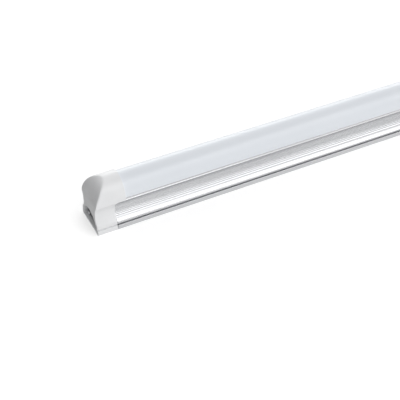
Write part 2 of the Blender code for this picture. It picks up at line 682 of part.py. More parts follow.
def make_battery():
    sleeve = material("blue_shrink_sleeve", BLUE, 0.3)
    can = material("cell_can", STEEL, 0.3, 1.0)
    green = material("green_circuit_board", GREEN, 0.5)
    paper = material("insulating_paper", (0.62, 0.58, 0.48), 0.8)
    cell_end = CELL_START + CELL_LENGTH
    cell_centre = ((CELL_START + cell_end) / 2, 0, CELL_Z)
    rod("battery_cell", cell_centre, CELL_RADIUS, CELL_LENGTH, "X", can, 32, 0.8 * MM)
    disc = CELL_START - GAP - DISC / 2
    rod("battery_insulator", (disc, 0, CELL_Z), CELL_RADIUS - 0.3 * MM, DISC, "X", paper, 32)
    disc -= GAP + DISC
    rod("battery_protection_board", (disc, 0, CELL_Z), CELL_RADIUS - 0.3 * MM, DISC, "X", green, 32)
    front = disc - DISC / 2 - GAP - SLEEVE_WALL
    back = cell_end + GAP + SLEEVE_WALL
    outer = [(front, SLEEVE_HOLE), (front, SLEEVE_RADIUS), (back, SLEEVE_RADIUS), (back, SLEEVE_HOLE)]
    inner = [(back - SLEEVE_WALL, SLEEVE_HOLE), (back - SLEEVE_WALL, SLEEVE_RADIUS - SLEEVE_WALL),
             (front + SLEEVE_WALL, SLEEVE_RADIUS - SLEEVE_WALL), (front + SLEEVE_WALL, SLEEVE_HOLE)]
    turned("battery_sleeve", list(reversed(outer + inner)), CELL_Z, sleeve)
    foam = material("foam_pad", (0.12, 0.12, 0.13), 0.95)
    for name, start, height in (("foam_pad_front", front - GAP - FOAM_LENGTH, 4 * MM),
                                ("foam_pad_rear", back + GAP, 11 * MM)):
        low = (start, -FOAM_Y, FOAM_LOW)
        high = (start + FOAM_LENGTH, FOAM_Y, FOAM_LOW + height)
        box(name, low, high, foam, 0.4 * MM)


def turned(name, profile, height, finish, sides=32):
    """A closed profile of (x, radius) points turned about an axis along X."""
    mesh = bpy.data.meshes.new(name)
    shape = bmesh.new()
    ring = [shape.verts.new((radius, 0, x)) for x, radius in profile]
    for here, after in zip(ring, ring[1:] + ring[:1]):
        shape.edges.new((here, after))
    shape.to_mesh(mesh)
    shape.free()
    made = bpy.data.objects.new(name, mesh)
    made.matrix_world = Matrix.Translation((0, 0, height)) @ Matrix.Rotation(math.pi / 2, 4, "Y")
    screw = made.modifiers.new("turned", "SCREW")
    screw.steps = sides
    screw.render_steps = sides
    screw.merge_threshold = 0.00001
    screw.use_merge_vertices = True
    return place(made, finish)


# ---------------------------------------------------------------- wiring

def smooth_route(stops, spacing):
    """Evenly stepped points along a smooth curve through the stops."""
    stops = [Vector(stop) for stop in stops]
    padded = [2 * stops[0] - stops[1]] + stops + [2 * stops[-1] - stops[-2]]
    points = [stops[0]]
    for before, start, end, after in zip(padded, padded[1:], padded[2:], padded[3:]):
        steps = max(2, min(12, round((end - start).length / spacing)))
        for step in range(1, steps + 1):
            t = step / steps
            bend = 2 * before - 5 * start + 4 * end - after
            twist = 3 * start - before - 3 * end + after
            points.append(0.5 * (2 * start + (end - before) * t + bend * t ** 2 + twist * t ** 3))
    return points


def lead(name, stops, finish, radius=LEAD_RADIUS):
    curve = bpy.data.curves.new(name, "CURVE")
    curve.dimensions = "3D"
    curve.bevel_depth = radius
    curve.bevel_resolution = 2
    curve.use_fill_caps = True
    spline = curve.splines.new("POLY")
    points = smooth_route([[value * MM for value in stop] for stop in stops], 4 * radius)
    spline.points.add(len(points) - 1)
    for knot, point in zip(spline.points, points):
        knot.co = (*point, 1)
    place(bpy.data.objects.new(name, curve), finish)


def make_wiring():
    """Leads in millimetre stops: supply, through wiring, earth, light engine and cell."""
    live = material("live_lead", BROWN, 0.45)
    neutral = material("neutral_lead", CABLE_BLUE, 0.45)
    earth = material("earth_lead", EARTH_GREEN, 0.45)
    red = material("red_lead", RED, 0.4)
    black = material("black_lead", BLACK, 0.4)
    pad = (BOARD_TOP + GAP) / MM + LEAD_RADIUS / MM
    lead("supply_lead_live", [(-281.0, -2.7, 4.7), (-276, -4.4, 4.9), (-266, -6.5, 8.2), (-262, -6.7, pad),
                              (-254.5, -6.4, pad)], live)
    lead("supply_lead_neutral", [(-281.0, 2.7, 4.7), (-276, 4.4, 4.9), (-266, 6.5, 8.2), (-262, 6.7, pad),
                                 (-254.5, 6.4, pad)], neutral)
    lead("link_lead_live", [(281.0, -2.7, 4.7), (275, -4.2, 5.6), (266, -7.0, 13.5), (256, -7.7, 19.2),
                            (100, -7.7, 19.6), (-50, -7.7, 19.6), (-200, -7.7, 19.6), (-250, -7.6, 18.6),
                            (-259, -3.4, 14.0), (-256, -1.2, pad + 2.2), (-251, -0.6, pad)], live)
    lead("link_lead_neutral", [(281.0, 2.7, 4.7), (275, 4.2, 5.6), (266, 6.2, 13.5), (256, 5.8, 19.6),
                               (100, 5.5, 20.0), (-50, 5.5, 20.0), (-200, 5.5, 20.0), (-250, 5.7, 19.2),
                               (-259, 4.6, 14.0), (-256.5, 1.6, pad + 2.2), (-252, 1.4, pad)], neutral)
    lead("link_lead_earth", [(281.0, 0, 8.4), (274, 0, 9.6), (264, 0.5, 16.0), (254, 2.8, 19.8),
                             (100, 3.2, 20.1), (-120, 3.2, 20.1), (-240, 2.6, 20.0), (-264, 1.0, 16.0),
                             (-271, 0.8, 10.4), (-269.5, 0.9, 4.6), (-270.4, 0.9, 3.6)], earth)
    lead("earth_lead", [(-281.0, 0, 8.4), (-278.6, 0, 8.2), (-276.6, -0.6, 6.6), (-277.6, -0.9, 4.8),
                        (-277.4, -0.9, 3.6)], earth)
    lead("led_lead_positive", [(-133, 6.8, pad), (-128, 7.4, pad + 1.2), (-119.8, 8.0, 17.5),
                               (-118.2, 8.2, 22.0), (-117.6, 7.2, 25.0), (-117.2, 5.6, 25.1)],
         red, LED_LEAD_RADIUS)
    lead("led_lead_negative", [(-133, 4.4, pad), (-128, 5.6, pad + 1.4), (-117.4, 7.2, 17.0),
                               (-114.8, 8.2, 22.0), (-114.2, 7.2, 25.0), (-113.8, 5.6, 25.1)],
         black, LED_LEAD_RADIUS)
    plug = PLUG_END / MM + 0.3
    board = CELL_START / MM - 3.2
    lead("battery_lead_red", [(plug, -1.4, 11.0), (plug + 1.5, -1.8, 11.2), (board - 3.0, -3.6, 13.0),
                              (board, -4.0, 13.0)], red, CELL_LEAD_RADIUS)
    lead("battery_lead_black", [(plug, 1.4, 11.0), (plug + 1.5, 1.8, 11.2), (board - 3.0, 3.4, 12.6),
                                (board, 4.0, 12.6)], black, CELL_LEAD_RADIUS)


def make_earth_bond():
    copper = material("tinned_copper", (0.72, 0.70, 0.66), 0.3, 1.0)
    steel = material("screw_steel", STEEL, 0.3, 1.0)
    low = FLOOR_TOP + GAP
    lug = rod("earth_lug", (EARTH_X, 0, low + LUG_THICK / 2), LUG_RADIUS, LUG_THICK, "Z", copper, 24)
    combine(lug, rod("lug_hole", (EARTH_X, 0, low), EARTH_SHANK + GAP, 5 * LUG_THICK, "Z", sides=16))
    head_low = low + LUG_THICK + GAP
    head_centre = (EARTH_X, 0, head_low + RIVET_HEAD / 2)
    rivet = rod("earth_rivet", head_centre, RIVET_RADIUS, RIVET_HEAD, "Z", steel, 20, 0.3 * MM)
    shank_top = head_low + RIVET_HEAD / 2
    shank_low = 0.2 * MM
    shank_centre = (EARTH_X, 0, (shank_top + shank_low) / 2)
    shank = rod("rivet_shank", shank_centre, EARTH_SHANK, shank_top - shank_low, "Z", sides=16)
    combine(rivet, shank, "UNION")


make_shells()
make_cap_screws()
for socket_side in (-1, 1):
    make_socket(socket_side)
make_light_engine()
make_tray()
make_driver()
make_battery()
make_earth_bond()
make_wiring()
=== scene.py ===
"""Looks of the LED light tube: fine surfaces, procedural materials, studio light and camera.

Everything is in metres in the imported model's frame: the tube lies along X on its flat base,
light side up, with the supply end at -X.
"""

import math
import random

import bmesh
import bpy
from mathutils import Matrix, Vector


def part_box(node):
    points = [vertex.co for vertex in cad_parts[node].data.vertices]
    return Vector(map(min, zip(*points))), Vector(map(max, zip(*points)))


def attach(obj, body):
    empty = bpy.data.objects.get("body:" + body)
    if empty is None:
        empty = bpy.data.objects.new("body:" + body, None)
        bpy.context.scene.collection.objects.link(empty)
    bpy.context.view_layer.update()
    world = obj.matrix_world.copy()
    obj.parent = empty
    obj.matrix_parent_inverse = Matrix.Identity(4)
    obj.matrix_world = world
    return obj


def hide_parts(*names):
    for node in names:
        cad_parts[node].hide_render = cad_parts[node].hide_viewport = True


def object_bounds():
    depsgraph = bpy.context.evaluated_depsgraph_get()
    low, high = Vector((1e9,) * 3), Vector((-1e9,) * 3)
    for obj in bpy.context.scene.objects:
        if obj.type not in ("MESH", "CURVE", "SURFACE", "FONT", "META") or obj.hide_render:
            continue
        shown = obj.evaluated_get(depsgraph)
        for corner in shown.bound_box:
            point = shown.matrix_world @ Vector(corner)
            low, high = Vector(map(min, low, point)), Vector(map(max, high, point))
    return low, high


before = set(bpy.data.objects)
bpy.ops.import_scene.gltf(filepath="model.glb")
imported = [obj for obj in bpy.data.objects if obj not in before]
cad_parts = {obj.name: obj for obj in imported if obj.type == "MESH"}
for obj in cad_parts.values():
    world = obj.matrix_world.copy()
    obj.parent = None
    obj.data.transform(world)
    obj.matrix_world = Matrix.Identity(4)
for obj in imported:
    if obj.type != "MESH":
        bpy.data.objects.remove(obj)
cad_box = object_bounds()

MM = 0.001
BODY = "root"
SCENE = bpy.context.scene
DICE = random.Random(7)

LEFT_END = cad_box[0][0]
HALF_LENGTH = cad_box[1][0]
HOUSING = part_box("housing_profile")
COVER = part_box("diffuser_cover")

# Section of the extrusion, half of it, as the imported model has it
FLANGE_Y = HOUSING[1][1]
FLANGE_TOP = 4.1 * MM
GROOVE_Y = 13.4 * MM
GROOVE_TOP = 5.0 * MM
SHOULDER_Y = 14.8 * MM
SHOULDER_Z = 6.4 * MM
WAIST_Y = 10.1 * MM
WAIST_LOW = 14.6 * MM
WAIST_HIGH = 16.5 * MM
FLARE_Y = 12.5 * MM
FLARE_Z = 24.1 * MM
LIP_Y = COVER[1][1]
LIP_LOW = 23.85 * MM
LIP_START = 23.2 * MM              # the flare turns out to the lip from here
LIP_TOP = HOUSING[1][2]
LIP_PROUD = 0.12 * MM               # the lip stands out from the cover by this much
LIP_EDGE_Z = 24.05 * MM             # its face ends here, under a bevel and a shadow gap
LIP_BEVEL = 0.4 * MM
LIP_LEAN = 1.4 * LIP_BEVEL          # its top edge is set back by this much
LIP_INNER_Y = 11.8 * MM
LEDGE_Z = 24.0 * MM
TROUGH_Y = 9.8 * MM
SHELF_LOW = 21.2 * MM
SHELF_TOP = 22.3 * MM
FLOOR_TOP = 1.3 * MM
CAVITY_Y = 10.6 * MM
CAVITY_LOW = 8.6 * MM
WALL = 1.05 * MM
LOWER_RADIUS = ((SHOULDER_Y - WAIST_Y) ** 2 + (WAIST_LOW - SHOULDER_Z) ** 2) / (
    2 * (SHOULDER_Y - WAIST_Y))
UPPER_RADIUS = ((FLARE_Y - WAIST_Y) ** 2 + (FLARE_Z - WAIST_HIGH) ** 2) / (
    2 * (FLARE_Y - WAIST_Y))
RIB_LOW = 9.0 * MM
RIB_PITCH = 1.25 * MM
RIB_COUNT = 8
RIB_DEPTH = 0.28 * MM
RIB_STEPS = 12
BOSS_Y = 8.9 * MM
BOSS_Z = 3.1 * MM
BOSS_RADIUS = 1.9 * MM
BOSS_HOLE = 1.25 * MM
TRIM_Y = 12.0 * MM
TRIM_TOP = 9.0 * MM
TRIM_LENGTH = 16.5 * MM
LED_SLOT_LOW = Vector((-120, 7.2, 20.2)) * MM
LED_SLOT_HIGH = Vector((-112, 9.6, 23.3)) * MM
EARTH_HOLE = 1.5 * MM

# Section of the cover
JOINT_Z = 26.0 * MM
DOME_Z = 27.05 * MM
COVER_TOP = COVER[1][2]
COVER_WALL = 1.3 * MM
LEG_OUT = 11.5 * MM
LEG_IN = 10.4 * MM
LEG_LOW = COVER[0][2]
DOME_STEPS = 48

# Moulded pieces
CAP_VOXEL = 0.24 * MM
SOCKET_VOXEL = 0.22 * MM
CAP_SOFT_LOW = 17 * MM              # above here the end face runs softly into the dome
CAP_SOFT_HIGH = 33 * MM
CAP_SOFT_REACH = 16 * MM            # as far as this from the end
CAP_SOFT_ROUNDS = 95
CAP_KEPT_FACES = 0.22
SOCKET_KEPT_FACES = 0.4

# Light engine and cell
LED_PITCH = 12.0 * MM
LED_COUNT = 46
LED_LENGTH = 3.5 * MM
LED_WIDTH = 2.8 * MM
LED_RIM = 0.45 * MM
CELL_STEPS = 72
FOAM_UNEVEN = 0.12

# Studio
SKY_BASE = 0.38
SKY_SHARES = {                      # more or less light from each side
    ("Z", 1): 0.2,
    ("Z", -1): 0.5,
    ("Y", -1): 0.62,
    ("Y", 1): 0.45,
    ("X", -1): -0.8,
}
SKY_LEAST = 0.02
FLOOR_GLOW = 0.46
BACKDROP_GLOW = 0.93


# ---------------------------------------------------------------- camera, stage and light

CAMERA_AZIMUTH = math.radians(26.83)     # turned so that the tube recedes to the right
CAMERA_ELEVATION = math.radians(41.24)
CAMERA_LENS = 87.38                      # millimetres on a 36 mm sensor
CAMERA_OFFSET = Vector((-82.87, -17.88, 735.3)) * MM    # the left end's foot, seen from the camera


def make_camera():
    a, e = CAMERA_AZIMUTH, CAMERA_ELEVATION
    right = Vector((math.cos(a), -math.sin(a), 0))
    up = Vector((math.sin(a) * math.sin(e), math.cos(a) * math.sin(e), math.cos(e)))
    ahead = Vector((math.sin(a) * math.cos(e), math.cos(a) * math.cos(e), -math.sin(e)))
    foot = Vector((LEFT_END, 0, 0))
    spot = foot - right * CAMERA_OFFSET.x - up * CAMERA_OFFSET.y - ahead * CAMERA_OFFSET.z
    lens = bpy.data.cameras.new("camera")
    lens.sensor_width = 36
    lens.lens = CAMERA_LENS
    lens.clip_end = 50
    camera = bpy.data.objects.new("camera", lens)
    turn = Matrix((right, up, -ahead)).transposed().to_4x4()
    camera.matrix_world = Matrix.Translation(spot) @ turn
    SCENE.collection.objects.link(camera)
    SCENE.camera = camera


def glowing(name, colour, glow):
    finish = bpy.data.materials.new(name)
    finish.use_nodes = True
    shader = finish.node_tree.nodes["Principled BSDF"]
    shader.inputs["Base Color"].default_value = (*colour, 1)
    shader.inputs["Roughness"].default_value = 0.9
    shader.inputs["Specular IOR Level"].default_value = 0.1
    shader.inputs["Emission Color"].default_value = (1, 1, 1, 1)
    shader.inputs["Emission Strength"].default_value = glow
    return finish


def make_floor():
    mesh = bpy.data.meshes.new("floor")
    shape = bmesh.new()
    bmesh.ops.create_circle(shape, cap_ends=True, segments=96, radius=8.0)
    shape.to_mesh(mesh)
    shape.free()
    floor = bpy.data.objects.new("floor", mesh)
    floor.location.z = cad_box[0][2] - 0.05 * MM
    floor.data.materials.append(glowing("floor_pale", (0.7, 0.7, 0.7), FLOOR_GLOW))
    floor.visible_diffuse = False
    SCENE.collection.objects.link(floor)


def make_backdrop():
    """A pale dome behind everything, seen by the camera only."""
    mesh = bpy.data.meshes.new("backdrop")
    shape = bmesh.new()
    bmesh.ops.create_uvsphere(shape, u_segments=48, v_segments=24, radius=9.0)
    bmesh.ops.reverse_faces(shape, faces=shape.faces)
    shape.to_mesh(mesh)
    shape.free()
    backdrop = bpy.data.objects.new("backdrop", mesh)
    backdrop.data.materials.append(glowing("backdrop_pale", (0, 0, 0), BACKDROP_GLOW))
    backdrop.visible_diffuse = False
    backdrop.visible_glossy = False
    backdrop.visible_transmission = False
    backdrop.visible_shadow = False
    SCENE.collection.objects.link(backdrop)


def make_world():
    """Soft surround light, dimmer towards the supply end."""
    world = bpy.data.worlds.new("studio")
    SCENE.world = world
    world.use_nodes = True
    nodes, links = world.node_tree.nodes, world.node_tree.links
    where = nodes.new("ShaderNodeTexCoord")
    parts = nodes.new("ShaderNodeSeparateXYZ")
    links.new(where.outputs["Generated"], parts.inputs[0])
    total = None
    for (axis, sign), gain in SKY_SHARES.items():
        share = nodes.new("ShaderNodeMath")
        share.operation = "MULTIPLY"
        share.inputs[1].default_value = sign
        links.new(parts.outputs[axis], share.inputs[0])
        positive = nodes.new("ShaderNodeMath")
        positive.operation = "MAXIMUM"
        positive.inputs[1].default_value = 0
        links.new(share.outputs[0], positive.inputs[0])
        scaled = nodes.new("ShaderNodeMath")
        scaled.operation = "MULTIPLY_ADD"
        scaled.inputs[1].default_value = gain
        scaled.inputs[2].default_value = SKY_BASE
        links.new(positive.outputs[0], scaled.inputs[0])
        if total:
            links.new(total, scaled.inputs[2])
        total = scaled.outputs[0]
    least = nodes.new("ShaderNodeMath")
    least.operation = "MAXIMUM"
    least.inputs[1].default_value = SKY_LEAST
    links.new(total, least.inputs[0])
    background = nodes["Background"]
    background.inputs["Color"].default_value = (1, 1, 1, 1)
    links.new(least.outputs[0], background.inputs["Strength"])


def softbox(name, azimuth, elevation, distance, size, radiance):
    """An evenly bright panel facing the tube's supply end; azimuth 0 is in front, 90 at +X."""
    lamp = bpy.data.lights.new(name, "AREA")
    lamp.shape = "RECTANGLE"
    lamp.size, lamp.size_y = size
    lamp.energy = radiance * math.pi * size[0] * size[1]
    a, e = math.radians(azimuth), math.radians(elevation)
    away = Vector((math.sin(a) * math.cos(e), -math.cos(a) * math.cos(e), math.sin(e)))
    panel = bpy.data.objects.new(name, lamp)
    panel.location = Vector((LEFT_END / 2, 0, 0)) + away * distance
    panel.rotation_euler = away.to_track_quat("Z", "Y").to_euler()
    panel.visible_camera = False
    SCENE.collection.objects.link(panel)


# ---------------------------------------------------------------- materials

class Look:
    """A Principled material built up node by node in object space."""

    def __init__(self, name, colour, roughness, metallic=0.0):
        self.material = bpy.data.materials.new(name)
        self.material.use_nodes = True
        self.nodes = self.material.node_tree.nodes
        self.links = self.material.node_tree.links
        self.shader = self.nodes["Principled BSDF"]
        self.colour = (*colour, 1)
        self.set("Base Color", self.colour)
        self.set("Roughness", roughness)
        self.set("Metallic", metallic)
        self.where = self.nodes.new("ShaderNodeTexCoord").outputs["Object"]
        self.normal = None

    def set(self, socket, value):
        self.shader.inputs[socket].default_value = value
        return self

    def stretched(self, scale):
        mapping = self.nodes.new("ShaderNodeMapping")
        mapping.inputs["Scale"].default_value = scale
        self.links.new(self.where, mapping.inputs["Vector"])
        return mapping.outputs["Vector"]

    def noise(self, scale, detail=3.0, stretch=(1, 1, 1)):
        texture = self.nodes.new("ShaderNodeTexNoise")
        texture.inputs["Scale"].default_value = scale
        texture.inputs["Detail"].default_value = detail
        self.links.new(self.stretched(stretch), texture.inputs["Vector"])
        return texture.outputs["Fac"]

    def cells(self, scale, stretch=(1, 1, 1), feature="F1"):
        texture = self.nodes.new("ShaderNodeTexVoronoi")
        texture.feature = feature
        texture.inputs["Scale"].default_value = scale
        self.links.new(self.stretched(stretch), texture.inputs["Vector"])
        return texture.outputs["Distance"]

    def bands(self, scale, direction, distortion=0.0):
        texture = self.nodes.new("ShaderNodeTexWave")
        texture.bands_direction = direction
        texture.inputs["Scale"].default_value = scale
        texture.inputs["Distortion"].default_value = distortion
        self.links.new(self.where, texture.inputs["Vector"])
        return texture.outputs["Fac"]

    def spread(self, value, low, high, start=0.3, stop=0.7):
        """Map a texture's value from start...stop to low...high."""
        span = self.nodes.new("ShaderNodeMapRange")
        span.inputs["From Min"].default_value = start
        span.inputs["From Max"].default_value = stop
        span.inputs["To Min"].default_value = low
        span.inputs["To Max"].default_value = high
        self.links.new(value, span.inputs["Value"])
        return span.outputs["Result"]

    def vary_roughness(self, value, low, high):
        self.links.new(self.spread(value, low, high), self.shader.inputs["Roughness"])
        return self

    def vary_colour(self, value, other, start=0.35, stop=0.65):
        """Blend the colour so far towards another by a texture's value."""
        mix = self.nodes.new("ShaderNodeMix")
        mix.data_type = "RGBA"
        first, second = mix.inputs[6], mix.inputs[7]
        first.default_value = self.colour
        second.default_value = (*other, 1)
        socket = self.shader.inputs["Base Color"]
        if socket.links:
            self.links.new(socket.links[0].from_socket, first)
        self.links.new(self.spread(value, 0, 1, start, stop), mix.inputs[0])
        self.links.new(mix.outputs[2], socket)
        return self

    def bump(self, value, depth, strength=0.5):
        node = self.nodes.new("ShaderNodeBump")
        node.inputs["Distance"].default_value = depth
        node.inputs["Strength"].default_value = strength
        self.links.new(value, node.inputs["Height"])
        if self.normal:
            self.links.new(self.normal, node.inputs["Normal"])
        self.normal = node.outputs["Normal"]
        self.links.new(self.normal, self.shader.inputs["Normal"])
        return self


def toned(colour, amount):
    return tuple(min(1.0, value * amount) for value in colour)


def aluminium():
    look = Look("aluminium_extrusion", (0.565, 0.57, 0.582), 0.32, 1.0)
    die_lines = look.noise(1.0, 4, (5, 1100, 1100))
    broad = look.noise(1.0, 2, (9, 150, 150))
    look.vary_colour(broad, (0.54, 0.545, 0.56))
    look.vary_roughness(die_lines, 0.22, 0.32)
    return look.bump(die_lines, 0.01 * MM).material


def frosted():
    look = Look("frosted_cover", (0.825, 0.86, 0.905), 0.42)
    look.set("IOR", 1.5).set("Transmission Weight", 0.12)
    look.set("Coat Weight", 0.35).set("Coat Roughness", 0.16)
    cloud = look.noise(45, 3, (0.3, 1, 1))
    look.vary_colour(cloud, (0.81, 0.845, 0.893))
    look.vary_roughness(cloud, 0.38, 0.48)
    return look.bump(look.noise(2600, 2), 0.004 * MM).material


def moulding(name, colour, roughness=0.38, grain=0.006):
    """Moulded plastic: faint flow clouds and a fine spark-eroded grain."""
    look = Look(name, colour, roughness)
    flow = look.noise(80, 3, (0.6, 1, 1))
    look.vary_colour(flow, toned(colour, 0.965))
    look.vary_roughness(flow, roughness - 0.06, roughness + 0.08)
    return look.bump(look.noise(1900, 2), grain * MM).material


def metal(name, colour, roughness=0.3, stretch=(1, 1, 1)):
    """Plated or drawn metal with fine scratches along the short side of its stretch."""
    look = Look(name, colour, roughness, 1.0)
    look.vary_colour(look.noise(420, 3), toned(colour, 0.86))
    look.vary_roughness(look.noise(900, 3, stretch), roughness - 0.08, roughness + 0.12)
    return look.bump(look.noise(1500, 2, stretch), 0.005 * MM).material


def solder_mask(name, colour, copper):
    """Lacquered circuit board: straight tracks show through, with a woven glass texture."""
    look = Look(name, colour, 0.32)
    tracks = look.cells(260, (0.5, 1, 0.01), "DISTANCE_TO_EDGE")
    look.vary_colour(tracks, copper, 0.06, 0.03)
    look.vary_roughness(look.noise(300, 2), 0.26, 0.4)
    look.bump(tracks, 0.02 * MM)
    return look.bump(look.bands(900, "X"), 0.004 * MM, 0.3).material


def insulation(name, colour, stripe=None):
    look = Look(name, colour, 0.42)
    look.vary_colour(look.noise(260, 2), toned(colour, 0.82))
    if stripe:
        look.vary_colour(look.bands(55, "DIAGONAL"), stripe, 0.62, 0.7)
    look.vary_roughness(look.noise(700, 2), 0.36, 0.5)
    return look.bump(look.noise(1600, 2), 0.01 * MM).material


def wrapped(name, colour, pitch, other, direction="X", roughness=0.4):
    """Tape or winding: close bands across the piece."""
    look = Look(name, colour, roughness)
    turns = look.bands(pitch, direction, 0.6)
    look.vary_colour(turns, other, 0.2, 0.9)
    look.vary_roughness(look.noise(500, 2), roughness - 0.06, roughness + 0.1)
    return look.bump(turns, 0.03 * MM).material


def shrink_film(name, colour):
    look = Look(name, colour, 0.24)
    look.set("Coat Weight", 0.4).set("Coat Roughness", 0.1)
    creases = look.noise(130, 4, (0.35, 1, 1))
    look.vary_colour(creases, toned(colour, 0.8))
    look.vary_roughness(creases, 0.2, 0.32)
    return look.bump(creases, 0.12 * MM, 0.35).material


def foam():
    look = Look("closed_cell_foam", (0.10, 0.10, 0.105), 0.95)
    pores = look.cells(1400)
    look.vary_colour(pores, (0.05, 0.05, 0.055), 0.1, 0.5)
    look.vary_roughness(pores, 0.9, 1.0)
    return look.bump(pores, 0.12 * MM, 0.9).material


def paper():
    look = Look("pressed_paper", (0.55, 0.51, 0.42), 0.85)
    fibres = look.noise(900, 5, (1, 0.25, 1))
    look.vary_colour(fibres, (0.46, 0.42, 0.34))
    look.vary_roughness(fibres, 0.78, 0.95)
    return look.bump(fibres, 0.03 * MM).material


LOOKS = {
    "aluminium_extrusion": aluminium(),
    "frosted_cover": frosted(),
    "white_moulding": moulding("white_moulding", (0.795, 0.80, 0.81)),
    # dark grey socket plastic, part its own colour and part painted shade: it is set dark to stand
    # in for the shade inside the caps' end recesses
    "dark_moulding": moulding("dark_moulding", (0.13, 0.13, 0.135), 0.45, 0.012),
    "brass_contact": metal("brass_contact", (0.78, 0.60, 0.28), 0.24, (0.2, 1, 1)),
    "steel_fastener": metal("steel_fastener", (0.62, 0.62, 0.64), 0.3),
    "tinned_copper": metal("tinned_copper", (0.70, 0.68, 0.64), 0.34),
    "white_board": solder_mask("white_board", (0.82, 0.82, 0.80), (0.74, 0.74, 0.71)),
    "led_package": moulding("led_package", (0.84, 0.83, 0.78), 0.35),
    "green_board": solder_mask("green_board", (0.02, 0.17, 0.07), (0.05, 0.30, 0.12)),
    "tray_liner": moulding("tray_liner", (0.70, 0.71, 0.69), 0.5, 0.01),
    "component_black": moulding("component_black", (0.02, 0.02, 0.022), 0.45, 0.015),
    "capacitor_sleeve": shrink_film("capacitor_sleeve", (0.025, 0.04, 0.14)),
    "transformer_tape": wrapped(
        "transformer_tape", (0.78, 0.58, 0.07), 110, (0.66, 0.47, 0.05), "Z"),
    "copper_winding": metal("copper_winding", (0.62, 0.24, 0.09), 0.28, (1, 1, 4)),
    "fuse_sleeve": moulding("fuse_sleeve", (0.62, 0.56, 0.46), 0.3),
    "varistor_coating": moulding("varistor_coating", (0.04, 0.16, 0.40), 0.36, 0.02),
    "relay_blue": moulding("relay_blue", (0.03, 0.12, 0.34), 0.3),
    "connector_white": moulding("connector_white", (0.80, 0.79, 0.73), 0.42),
    "cell_can": metal("cell_can", (0.66, 0.66, 0.66), 0.22, (0.2, 1, 1)),
    "blue_sleeve": shrink_film("blue_sleeve", (0.02, 0.14, 0.62)),
    "insulating_paper": paper(),
    "foam": foam(),
    "live_insulation": insulation("live_insulation", (0.18, 0.06, 0.025)),
    "neutral_insulation": insulation("neutral_insulation", (0.025, 0.09, 0.45)),
    "earth_insulation": insulation("earth_insulation", (0.08, 0.38, 0.07), (0.75, 0.66, 0.05)),
    "red_insulation": insulation("red_insulation", (0.58, 0.03, 0.025)),
    "black_insulation": insulation("black_insulation", (0.018, 0.018, 0.02)),
}
PHOSPHOR = moulding("led_phosphor", (0.84, 0.66, 0.10), 0.3, 0.02)
FERRITE = moulding("ferrite_core", (0.035, 0.034, 0.036), 0.6, 0.03)
BUNG = moulding("rubber_bung", (0.03, 0.03, 0.03), 0.8, 0.02)


# ---------------------------------------------------------------- mesh tools

def link(name, data, finishes):
    made = bpy.data.objects.new(name, data)
    data.materials.clear()
    for finish in finishes:
        data.materials.append(finish)
    SCENE.collection.objects.link(made)
    return made


def settle(piece, slot, *nodes):
    """Hang a finished piece on the body in place of its CAD nodes."""
    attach(piece, BODY)
    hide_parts(*nodes)
    return piece


def applied(piece):
    """The piece with its modifiers worked into its mesh."""
    bpy.context.view_layer.update()
    shape = piece.evaluated_get(bpy.context.evaluated_depsgraph_get())
    mesh = bpy.data.meshes.new_from_object(shape)
    piece.modifiers.clear()
    piece.data = mesh
    return piece


def shade(piece, angle=30):
    piece.data.shade_smooth()
    piece.data.set_sharp_from_angle(angle=math.radians(angle))
    return piece


ALONG_X = Matrix(((0, 0, 1, 0), (1, 0, 0, 0), (0, 1, 0, 0), (0, 0, 0, 1)))    # outline in Y, Z


def prism(name, outlines, start, end, finishes):
    """A flat outline in Y and Z, with any holes, drawn out along X."""
    curve = bpy.data.curves.new(name + "_outline", "CURVE")
    curve.dimensions = "2D"
    curve.fill_mode = "BOTH"
    curve.extrude = (end - start) / 2
    for outline in outlines:
        spline = curve.splines.new("POLY")
        spline.points.add(len(outline) - 1)
        for point, (across, up) in zip(spline.points, outline):
            point.co = (across, up, 0, 1)
        spline.use_cyclic_u = True
    drawn = bpy.data.objects.new(name + "_outline", curve)
    SCENE.collection.objects.link(drawn)
    bpy.context.view_layer.update()
    shape = drawn.evaluated_get(bpy.context.evaluated_depsgraph_get())
    mesh = bpy.data.meshes.new_from_object(shape)
    bpy.data.objects.remove(drawn, do_unlink=True)
    welded = bmesh.new()
    welded.from_mesh(mesh)
    bmesh.ops.remove_doubles(welded, verts=welded.verts, dist=0.000001)
    bmesh.ops.dissolve_limit(welded, angle_limit=0.0001, verts=welded.verts, edges=welded.edges)
    bmesh.ops.recalc_face_normals(welded, faces=welded.faces)
    bmesh.ops.transform(welded, matrix=Matrix.Translation(((start + end) / 2, 0, 0)) @ ALONG_X,
                        verts=welded.verts)
    welded.to_mesh(mesh)
    welded.free()
    mesh.name = name
    return link(name, mesh, finishes)


def cut(piece, low, high):
    """Take a box out of the piece."""
    mesh = bpy.data.meshes.new("cutter")
    shape = bmesh.new()
    bmesh.ops.create_cube(shape, size=1.0)
    bmesh.ops.scale(shape, vec=Vector(high) - Vector(low), verts=shape.verts)
    bmesh.ops.translate(shape, vec=(Vector(high) + Vector(low)) / 2, verts=shape.verts)
    shape.to_mesh(mesh)
    shape.free()
    subtract(piece, bpy.data.objects.new("cutter", mesh))


def subtract(piece, cutter):
    SCENE.collection.objects.link(cutter)
    step = piece.modifiers.new("cut", "BOOLEAN")
    step.operation = "DIFFERENCE"
    step.object = cutter
    applied(piece)
    bpy.data.objects.remove(cutter, do_unlink=True)


